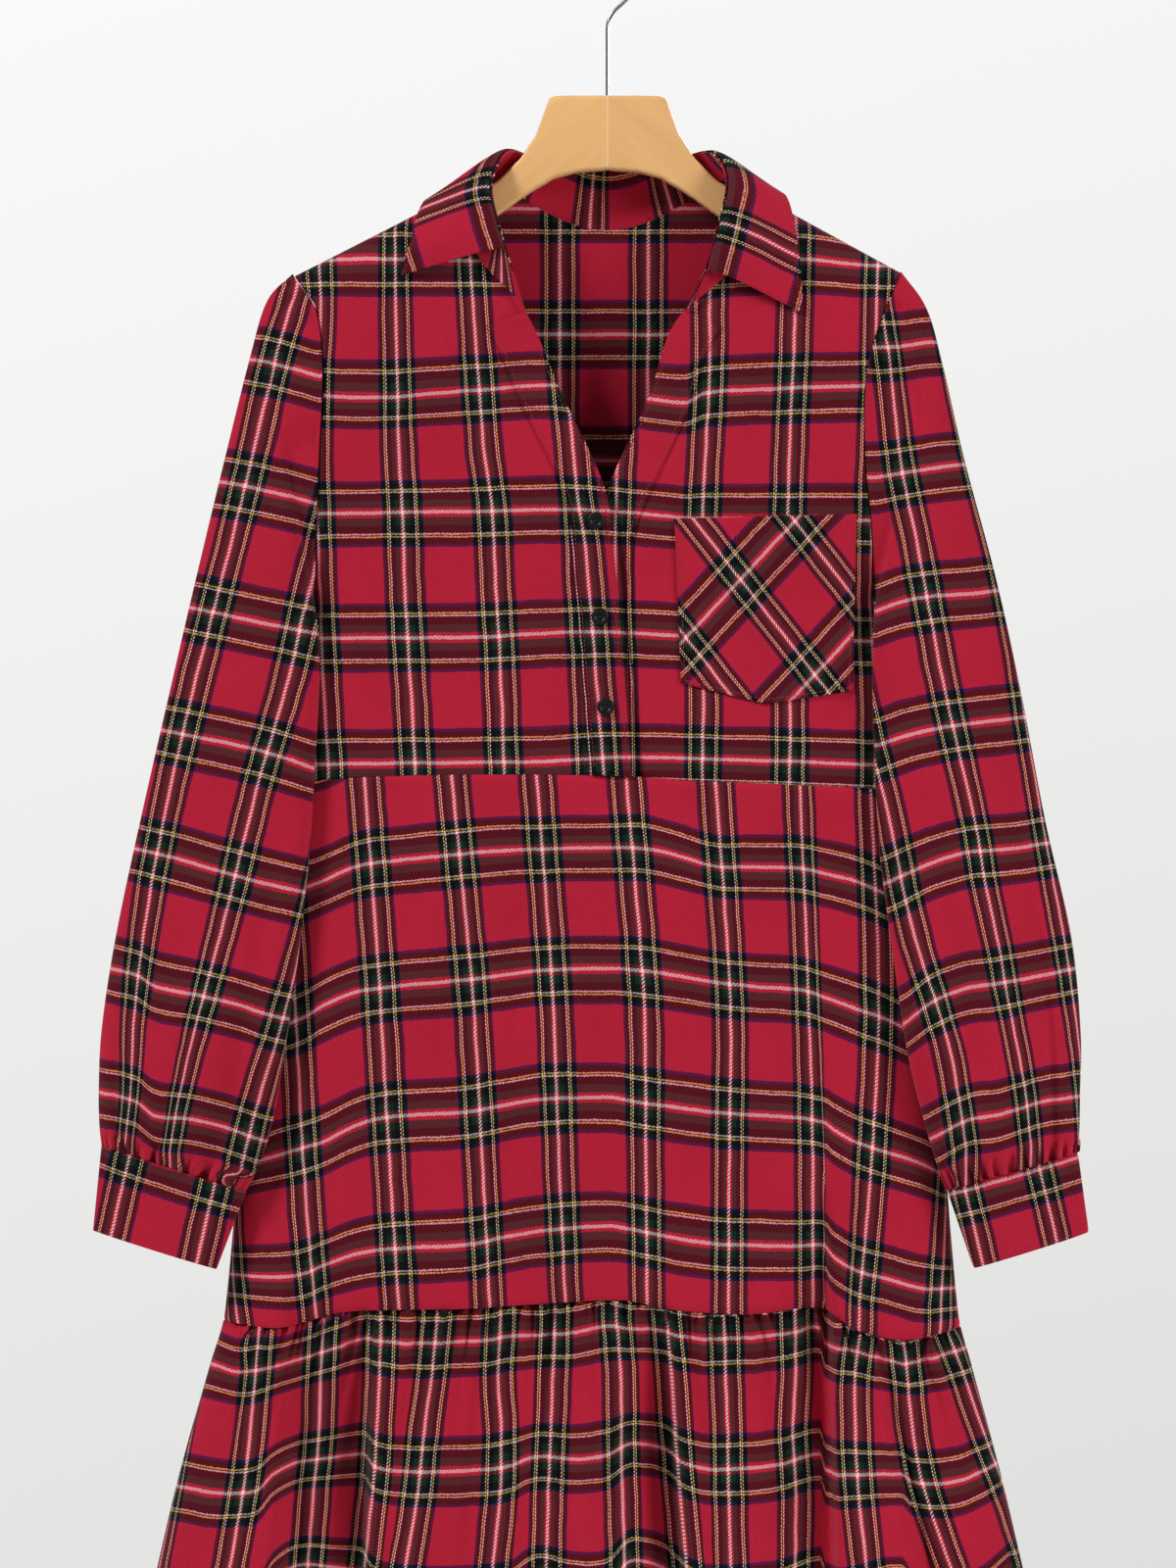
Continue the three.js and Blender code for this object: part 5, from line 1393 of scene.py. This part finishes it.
def sleeve_creases(table, v, turn):
    """Depth of a sleeve's folds at shares of its length and turns round it."""
    total = 0
    degrees = np.degrees(turn)
    for i in range(len(table["v0"])):
        v0, turn0, v1, turn1 = (table[name][i] for name in ("v0", "turn0", "v1", "turn1"))
        share = (v - v0) / (v1 - v0)
        aside = (degrees - mix(turn0, turn1, share) + 180) % 360 - 180
        fade = np.sqrt(np.sin(np.pi * np.clip(share, 0, 1)))
        total = total + table["inward"][i] * fade * np.exp(-((aside / table["wide"][i]) ** 2))
    return total


def sleeve_places(points, uprights, crosses, low, high, backward):
    """Cloth places of a sleeve, whose ring runs from its inner fold over the back and the front."""
    closed = np.concatenate([points, points[:, :1]], axis=1)
    half = points.shape[1] // 2
    front = closed[:, half:]
    front_across = arcs_beyond(front, line_count(uprights, front[..., 2], front[..., 0]), low, high)
    arcs = row_arcs(closed[:, : half + 1])
    back_across = front_across[:, :1] + backward * (arcs[:, -1:] - arcs) / UPRIGHT_REPEAT
    across = np.concatenate([back_across[:, :-1], front_across], axis=1)
    down = line_count(crosses, closed[..., 0], closed[..., 2])
    return np.stack([across * UPRIGHT_REPEAT, down * CROSS_REPEAT], axis=-1)


SLEEVE_GATHER_DEPTH = 4.2
SLEEVE_TUCK_DEPTH = 1.5
SLEEVE_TUCKS = 24
SLEEVE_TUCK_FALL = 0.05  # shares of the sleeve's length, as the three below
SLEEVE_GATHER_START = 0.91
SLEEVE_GATHER_RISE = 0.065
SLEEVE_END_SHARE = 0.012


def sleeves():
    turn = math.pi + full_turn(SLEEVE_TURNS)
    for side, table, tip, depth, uprights, crosses, low, high, backward, folds, seed in (
        ("left", SLEEVE_LEFT, TIP_LEFT, front_y, SLEEVE_LEFT_UPRIGHTS, SLEEVE_LEFT_CROSSES,
         -0.2, 1.5, -1, SLEEVE_LEFT_CREASES, 5),
        ("right", SLEEVE_RIGHT, TIP_RIGHT, right_front_y, SLEEVE_RIGHT_UPRIGHTS, SLEEVE_RIGHT_CROSSES,
         -1, 0.85, 1, SLEEVE_RIGHT_CREASES, 9),
    ):
        rings = [armhole_ring(side, tip, depth, turn)]
        for i in range(len(table["front"])):
            rings.append(fold_ring({key: table[key][i] for key in table}, turn))
        points = through_rings(rings, SLEEVE_STEPS)
        v = np.linspace(0, 1, len(points))[:, None]
        foot = smooth((v - SLEEVE_GATHER_START) / SLEEVE_GATHER_RISE)
        foot = foot * smooth((1.0 - v) / SLEEVE_END_SHARE + 0.25)
        head = smooth(v / 0.015) * np.exp(-v / SLEEVE_TUCK_FALL) * smooth(np.cos(turn) * 1.3)
        across = np.sqrt(np.abs(np.sin(turn)))[None, :]
        wave = sleeve_gathers(turn[None, :], seed) * SLEEVE_GATHER_DEPTH * foot
        wave = wave + np.sin(turn[None, :] * SLEEVE_TUCKS + seed) * SLEEVE_TUCK_DEPTH * head
        wave = (wave - sleeve_creases(folds, v, turn[None, :]) * smooth(v / SLEEVE_END_SHARE)) * across
        points[..., 1] -= wave * np.sign(np.sin(turn))[None, :]
        places = sleeve_places(points, uprights, crosses, low, high, backward)
        obj = shell(f"cloth_sleeve_{side}", points, 1, places, ring=True)
        cloth_piece(obj, f"sleeve_{side}")


CUFF_DROP = 0.007
CUFF_ROWS = 31


def cuffs():
    turn = full_turn(SLEEVE_TURNS)
    for side, table, foot, line, repeat, first in (
        ("left", SLEEVE_LEFT, CUFF_FOOT_LEFT, 30, 59, 2.2),
        ("right", SLEEVE_RIGHT, CUFF_FOOT_RIGHT, 17.5, 51, -2.6),
    ):
        low = {key: foot[key][0] for key in foot}
        top = {key: table[key][-1] for key in table}
        top.update(front=low["front"], back=low["back"])
        rings = []
        for t in np.linspace(CUFF_DROP, 1, CUFF_ROWS):
            rings.append(fold_ring({key: mix(top[key], low[key], t) for key in top}, turn))
        points = np.array(rings)
        around = row_arcs(np.concatenate([points, points[:, :1]], axis=1))
        middle = around[:, SLEEVE_TURNS // 4][:, None]
        across = (around - middle + line) * UPRIGHT_REPEAT / repeat
        height = column_arcs(points)
        down = np.concatenate([height, height[:, :1]], axis=1)
        sink = sewn_edge(np.minimum(height, height[-1:] - height), 0.6, 0.25)
        places = np.stack([across, down + first], axis=-1)
        obj = shell(f"cloth_cuff_{side}", points, 1, places, ring=True, sink=sink)
        cloth_piece(obj, f"cuff_{side}")
        normals = grid_normals(points, 1, True)
        for name, target in (("top", STITCH_INSET), ("foot", height[-1].mean() - STITCH_INSET)):
            i = int(np.argmin(np.abs(height.mean(axis=1) - target)))
            row = np.concatenate([points[i], points[i, :1]])
            outward = np.concatenate([normals[i], normals[i, :1]])
            if np.dot(outward[0], points[i, 0] - points[i].mean(axis=0)) < 0:
                outward = -outward
            stitches(f"stitches_cuff_{side}_{name}", row, outward)


# Collar


def catmull_rom(table, names, u):
    """Point on the curve through a table's rows at shares u, evenly by row."""
    values = np.stack([table[name] for name in names], axis=-1)
    ends = np.concatenate([2 * values[:1] - values[1:2], values, 2 * values[-1:] - values[-2:-1]])
    place = np.asarray(u, float) * (len(values) - 1)
    i = np.clip(place.astype(int), 0, len(values) - 2)
    t = (place - i)[..., None]
    return curve_between(ends[i], ends[i + 1], ends[i + 2], ends[i + 3], t)


def leaf_table():
    x, z = LEAF_EDGE["x"], LEAF_EDGE["z"]
    lift = LEAF_EDGE["lift"]
    y = np.where(LEAF_EDGE["face"] < 0, front_y(x, z) - lift, back_y(x, z) + lift)
    return {"x": x, "y": y, "z": z}


def away_from_neck(points):
    lean = np.stack([
        points[..., 0] * COLLAR_LEAN[0], points[..., 1], np.full(points.shape[:-1], COLLAR_LEAN[1]),
    ], axis=-1)
    return lean / np.linalg.norm(lean, axis=-1, keepdims=True)


LEAF_LINE_LEFT_Z = -169  # height of an upright line on each half of the collar
LEAF_LINE_RIGHT_Z = -197.5
LEAF_FIRST_LEFT = 6.4  # from a cross line to the roll line, on the left and on the right
LEAF_FIRST_RIGHT = 3
LEAF_COLUMNS = 201
STAND_COLUMNS = 181
STAND_LINE_X = -11.8
STAND_SEAM_PLACE = 50  # from a cross line down to the neck seam


def collar_leaf():
    edge_rows = leaf_table()

    def surface(u, v):
        roll = catmull_rom(ROLL_LINE, "xyz", u)
        edge = catmull_rom(edge_rows, "xyz", u)
        points = mix(roll, edge, v[..., None])
        swell = LEAF_SWELL * np.sin(np.pi * np.sqrt(v))
        return points + away_from_neck(points) * swell[..., None]

    points = grid(surface, np.linspace(0, 1, LEAF_COLUMNS), shares(40, 0.4))
    length = row_arcs(points)[len(points) // 2]
    height = points[len(points) // 2, :, 2]
    half = len(length) // 2
    first = np.interp(LEAF_LINE_LEFT_Z, height[:half], length[:half])
    last = np.interp(-LEAF_LINE_RIGHT_Z, -height[half:], length[half:])
    repeats = round((last - first) / UPRIGHT_REPEAT)
    across = (length - first) * repeats * UPRIGHT_REPEAT / (last - first)
    down = column_arcs(points) + mix(LEAF_FIRST_LEFT, LEAF_FIRST_RIGHT, np.linspace(0, 1, LEAF_COLUMNS))
    places = np.stack([np.broadcast_to(across, down.shape), down], axis=-1)
    distance = edge_distance(points, "left right foot")
    obj = shell("cloth_collar_leaf", points, 1, places, sink=sewn_edge(distance, 0.7, 0.3))
    cloth_piece(obj, "collar_leaf")
    normals = grid_normals(points, 1)
    fall = column_arcs(points)
    row, outward = [], []
    for k in range(2, LEAF_COLUMNS - 2):
        i = int(np.argmin(np.abs(fall[-1, k] - fall[:, k] - STITCH_INSET)))
        row.append(points[i, k])
        outward.append(normals[i, k])
    stitches("stitches_collar_edge", np.array(row), np.array(outward))


def lifted(x, z, depth, face, out):
    step = 0.05
    slope_x = (depth(x + step, z) - depth(x - step, z)) / (2 * step)
    slope_z = (depth(x, z + step) - depth(x, z - step)) / (2 * step)
    normal = np.stack([-slope_x, np.ones_like(slope_x), -slope_z], axis=-1)
    normal = normal / np.linalg.norm(normal, axis=-1, keepdims=True) * face * out
    return np.stack([x, depth(x, z), z], axis=-1) + normal


def neck_seam(t):
    part = STAND_FRONT_PART
    left_share = mix(PLACKET_TOP, 0, np.clip(t / part, 0, 1))
    right_share = mix(PLACKET_TOP, 0, np.clip((1 - t) / part, 0, 1))
    left = lifted(*edge_point(EDGE_LEFT)(left_share), front_y, -1, STAND_LIFT)
    right = lifted(*edge_point(EDGE_RIGHT)(right_share), right_front_y, -1, STAND_LIFT)
    u = np.clip((t - part) / (1 - 2 * part), 0, 1)
    x = -NECK_POINT_X * np.cos(np.pi * u)
    z = NECK_POINT_Z - NECK_SCOOP * (1 - np.minimum(1, (x / NECK_POINT_X) ** 2)) ** NECK_SCOOP_POWER
    back = np.stack([x, back_y(x, z), z + SEAM_GAP], axis=-1)
    inside = (t <= part)[..., None]
    return np.where(inside, left, np.where((t >= 1 - part)[..., None], right, back))


def collar_stand():
    def surface(u, v):
        roll = catmull_rom(ROLL_LINE, "xyz", u)
        roll = roll - away_from_neck(roll) * STAND_INSET
        return mix(neck_seam(u), roll, v[..., None])

    points = grid(surface, np.linspace(0, 1, STAND_COLUMNS), np.linspace(0, 1, 15))
    length = row_arcs(points)[0]
    middle = slice(STAND_COLUMNS // 3, STAND_COLUMNS * 2 // 3 + 1)
    across = length - np.interp(STAND_LINE_X, points[0, middle, 0], length[middle])
    down = STAND_SEAM_PLACE - column_arcs(points)
    places = np.stack([np.broadcast_to(across, down.shape), down], axis=-1)
    obj = shell("cloth_collar_stand", points, 1, places)
    cloth_piece(obj, "collar_stand")


# Stitches, hanger and buttons


STITCH_PITCH = 2.9
STITCH_LENGTH = 2.2
STITCH_RADIUS = 0.2
STITCH_SIDES = 6
STITCH_RINGS = ((0.0, 0.3, -0.25), (0.2, 1.0, 0.05), (0.8, 1.0, 0.05), (1.0, 0.3, -0.25))


def stitches(name, path, outward, material=None, pitch=STITCH_PITCH, radius=STITCH_RADIUS):
    """A row of stitches along a path of points, as one mesh: each is a short bar with sunk ends."""
    steps = np.linalg.norm(np.diff(path, axis=0), axis=1)
    arc = np.concatenate([[0], np.cumsum(steps)])
    starts = np.arange(0, arc[-1] - STITCH_LENGTH, pitch)

    def at(lengths, values):
        return np.stack([np.interp(lengths, arc, values[:, k]) for k in range(3)], axis=-1)

    normals = np.broadcast_to(outward, path.shape)
    begin, finish, up = at(starts, path), at(starts + STITCH_LENGTH, path), at(starts, normals)
    side = np.cross(finish - begin, up)
    side = side / np.maximum(np.linalg.norm(side, axis=1, keepdims=True), 1e-9)
    angles = full_turn(STITCH_SIDES)
    rings = []
    for share, wide, high in STITCH_RINGS:
        centre = mix(begin, finish, share) + up * high - up * STITCH_PRESS * 0.5
        for angle in angles:
            rings.append(centre + radius * wide * (math.cos(angle) * side + math.sin(angle) * up))
    points = np.stack(rings, axis=1)
    count = len(STITCH_RINGS)
    ids, quads = ring_faces(count, STITCH_SIDES)
    first, last = ids[0], ids[-1]
    caps = np.array([
        [first[0], first[1], first[2], first[3]], [first[0], first[3], first[4], first[5]],
        [last[3], last[2], last[1], last[0]], [last[5], last[4], last[3], last[0]],
    ])
    quads = np.concatenate([quads, caps])
    offsets = np.arange(len(starts))[:, None, None] * count * STITCH_SIDES
    obj = new_object(name, points.reshape(-1, 3), (quads[None] + offsets).reshape(-1, 4))
    dress_piece(obj, material or RED_THREAD, "tartan")


def closed_loft(name, rings):
    """Closed body through rings of points, with flat fans at both ends."""
    rings = np.array(rings)
    rows, cols = rings.shape[:2]
    ids, quads = ring_faces(rows, cols)
    points = rings.reshape(-1, 3)
    half = cols // 2
    caps = []
    for row, flip in ((0, False), (rows - 1, True)):
        for k in range(half - 1):
            quad = [ids[row, k], ids[row, k + 1], ids[row, cols - 2 - k], ids[row, cols - 1 - k]]
            caps.append(quad[::-1] if flip else quad)
    return new_object(name, points, np.concatenate([quads, np.array(caps)]))


NECK_START = 36  # where the top of the wood curves from its neck to its arms
NECK_END = 60
MITRE_GROOVE = 0.35
MITRE_HALF_WIDTH = 0.5
HANGER_CORNER_STEPS = 9
HOOK_STATIONS = 220
HOOK_SIDES = 16
HOOK_END_SHARE = 0.008  # of its length, over which the wire's end is rounded
HOOK_END_LEAST = 0.12


def hanger_wood():
    half_x = HANGER_HALF["x"]
    parts = (0, NECK_START, 12), (NECK_START, NECK_END, 34), (NECK_END, half_x[-1], 60)
    fine_x = np.unique(np.concatenate([np.linspace(*part) for part in parts]))
    stations = np.concatenate([-fine_x[::-1], fine_x[1:]])
    half = HANGER_THICKNESS / 2
    rings = []
    for x in stations:
        top = np.interp(abs(x), half_x, HANGER_HALF["top"])
        foot = np.interp(abs(x), half_x, HANGER_HALF["foot"])
        sweep = -SHOULDER_SWEEP * (x / TIP_LEFT[0]) ** 2
        radius = min(HANGER_EDGE, (top - foot) * HANGER_EDGE_SHARE)
        groove = MITRE_GROOVE * math.exp(-((x / MITRE_HALF_WIDTH) ** 2))
        ring = []
        for y, z, start in (
            (half - radius, top - radius, 0), (radius - half, top - radius, 90),
            (radius - half, foot + radius, 180), (half - radius, foot + radius, 270),
        ):
            for degrees in np.linspace(start, start + 90, HANGER_CORNER_STEPS):
                angle = math.radians(degrees)
                out = radius - groove
                ring.append((x, sweep + y + out * math.cos(angle), z + out * math.sin(angle)))
        rings.append(ring)
    obj = closed_loft("wood_hanger_body", rings)
    dress_piece(obj, WOOD, "wood", "hanger_wood")


def hanger_hook():
    radius = HOOK_INNER_RADIUS + WIRE_RADIUS
    points = [(x, 0, z) for x, z in STEM]
    for degrees in range(CROOK_START, CROOK_END + 1, CROOK_STEP):
        angle = math.radians(degrees)
        points.append((radius * math.cos(angle), 0, -HOOK_INNER_RADIUS + radius * math.sin(angle)))
    table = columns("x y z", points)
    u = np.linspace(0, 1, HOOK_STATIONS)
    centre = catmull_rom(table, "xyz", u)
    tangent = np.gradient(centre, axis=0)
    tangent = tangent / np.linalg.norm(tangent, axis=1, keepdims=True)
    side = np.array([0.0, 1.0, 0.0])
    rings = []
    end_round = np.sqrt(1 - np.clip((u - 1 + HOOK_END_SHARE) / HOOK_END_SHARE, 0, 1) ** 2)
    for c, t, share in zip(centre, tangent, end_round):
        across = np.cross(side, t)
        thick = WIRE_RADIUS * max(share, HOOK_END_LEAST)
        rings.append([
            c + thick * (math.cos(a) * side + math.sin(a) * across)
            for a in full_turn(HOOK_SIDES)
        ])
    obj = closed_loft("steel_hook", rings)
    dress_piece(obj, STEEL, "steel", "hanger_hook")


# The button's dished face, rim and foot: shares of its radius and of half its thickness
BUTTON_PROFILE = [
    (0.03, 0.15), (0.30, 0.12), (0.44, 0.2), (0.52, 0.42), (0.60, 0.78), (0.68, 0.96), (0.78, 1.0),
    (0.88, 0.9), (0.96, 0.6), (1.0, 0.2), (0.97, -0.3), (0.88, -0.75), (0.8, -1.0), (0.03, -1.0),
]
BUTTON_SIDES = 40
BUTTON_STITCH_PITCH = 10
BUTTON_STITCH_RADIUS = 0.35


def buttons():
    half = BUTTON_THICKNESS / 2
    angles = full_turn(BUTTON_SIDES)
    for name, (x, z) in BUTTONS.items():
        face = min(front_y(np.float64(x + k * BUTTON_RADIUS), np.float64(z)) for k in (-1, 0, 1))
        centre_y = face - PLACKET_LIFT - SEAM_GAP - half
        rings = []
        for out, up in BUTTON_PROFILE:
            rings.append(np.stack([
                x + BUTTON_RADIUS * out * np.cos(angles),
                np.full(len(angles), centre_y - half * up),
                z + BUTTON_RADIUS * out * np.sin(angles),
            ], axis=-1))
        obj = closed_loft(f"resin_{name}", rings)
        dress_piece(obj, RESIN, "button", name)
        bar = [(x + k * BUTTON_EYE, centre_y - half * 0.35, z + k * BUTTON_EYE * 0.6) for k in (-1, 1)]
        thread = BLACK_THREAD, BUTTON_STITCH_PITCH, BUTTON_STITCH_RADIUS
        stitches(f"stitches_{name}", np.array(bar), TO_FRONT, *thread)


# Camera, light and floor


def camera():
    data = bpy.data.cameras.new("camera")
    obj = bpy.data.objects.new("camera", data)
    bpy.context.scene.collection.objects.link(obj)
    centre_x, centre_z = photo_x(PHOTO_WIDTH / 2), photo_z(PHOTO_HEIGHT / 2)
    obj.location = (centre_x * MM, -CAMERA_AWAY * MM, centre_z * MM)
    obj.rotation_euler = (math.radians(90), 0, 0)
    data.sensor_fit = "VERTICAL"
    data.sensor_height = SENSOR
    data.lens = SENSOR * (CAMERA_AWAY + CLOTH_FRONT_Y) / (PHOTO_HEIGHT * MM_PER_PIXEL)
    data.clip_end = 50
    bpy.context.scene.camera = obj


LIGHT_AIM = (0.0, 0.0, -0.6)
LIGHTS = [  # name, place and width in metres, power in watts
    ("key", (-3.1, -1.9, 2.3), 1.1, 158),
    ("fill", (3.1, -1.9, 0.6), 1.6, 84),
    ("back", (0.8, 2.8, 0.8), 1.8, 60),
]
ROOM_LIGHT = 0.2


def area_light(name, place, size, power):
    data = bpy.data.lights.new(name, "AREA")
    data.shape = "DISK"
    data.size = size
    data.energy = power
    obj = bpy.data.objects.new(name, data)
    bpy.context.scene.collection.objects.link(obj)
    obj.location = place
    direction = [b - a for a, b in zip(place, LIGHT_AIM)]
    flat = math.hypot(direction[0], direction[1])
    obj.rotation_euler = (
        math.atan2(flat, -direction[2]), 0, math.atan2(direction[1], direction[0]) - math.pi / 2,
    )


def studio():
    world = bpy.data.worlds.new("pale_room")
    bpy.context.scene.world = world
    world.use_nodes = True
    nodes = Nodes(world.node_tree)
    background = world.node_tree.nodes["Background"]
    background.inputs["Color"].default_value = (0.90, 0.90, 0.90, 1)
    background.inputs["Strength"].default_value = ROOM_LIGHT
    seen = nodes.add("ShaderNodeBackground")
    direction = nodes.add("ShaderNodeTexCoord").outputs["Generated"]
    split = nodes.add("ShaderNodeSeparateXYZ")
    nodes.put(split.inputs[0], direction)
    lower_right = nodes.math("MULTIPLY_ADD", split.outputs[0], -0.9, 0.5)
    height = nodes.math("MULTIPLY_ADD", split.outputs[2], 3.0, lower_right)
    shade = nodes.mix(height, (0.73, 0.73, 0.715, 1), (0.96, 0.96, 0.96, 1))
    nodes.put(seen.inputs["Color"], shade)
    ray = nodes.add("ShaderNodeLightPath").outputs["Is Camera Ray"]
    joined = nodes.add("ShaderNodeMixShader")
    nodes.put(joined.inputs[0], ray)
    nodes.put(joined.inputs[1], background.outputs[0])
    nodes.put(joined.inputs[2], seen.outputs[0])
    nodes.put(world.node_tree.nodes["World Output"].inputs["Surface"], joined.outputs[0])
    for light in LIGHTS:
        area_light(*light)
    bpy.context.scene.view_settings.view_transform = "Standard"


FLOOR_SIDES = 96
FLOOR_PROFILE = ((0.02, -1500), (1900, -1500), (1900, -1520), (0.02, -1520))  # radius and height


def floor():
    angles = full_turn(FLOOR_SIDES)
    rings = []
    for radius, z in FLOOR_PROFILE:
        level = np.full(FLOOR_SIDES, z)
        rings.append(np.stack([radius * np.cos(angles), radius * np.sin(angles), level], axis=-1))
    obj = closed_loft("pale_floor", rings)
    material, tree, shader = new_material("pale_floor")
    nodes = Nodes(tree)
    place = nodes.add("ShaderNodeTexCoord").outputs["Object"]
    cloud = nodes.noise(place, 3, 3.0)
    nodes.put(shader.inputs["Base Color"], nodes.mix(cloud, FLOOR_DARK, FLOOR_LIGHT))
    shader.inputs["Roughness"].default_value = 0.8
    obj.data.materials.append(material)


camera()
studio()
floor()
hanger_hook()
hanger_wood()
bodice_fronts()
bodice_back()
plackets()
pocket()
collar_stand()
collar_leaf()
buttons()
skirt()
ruffle()
sleeves()
cuffs()
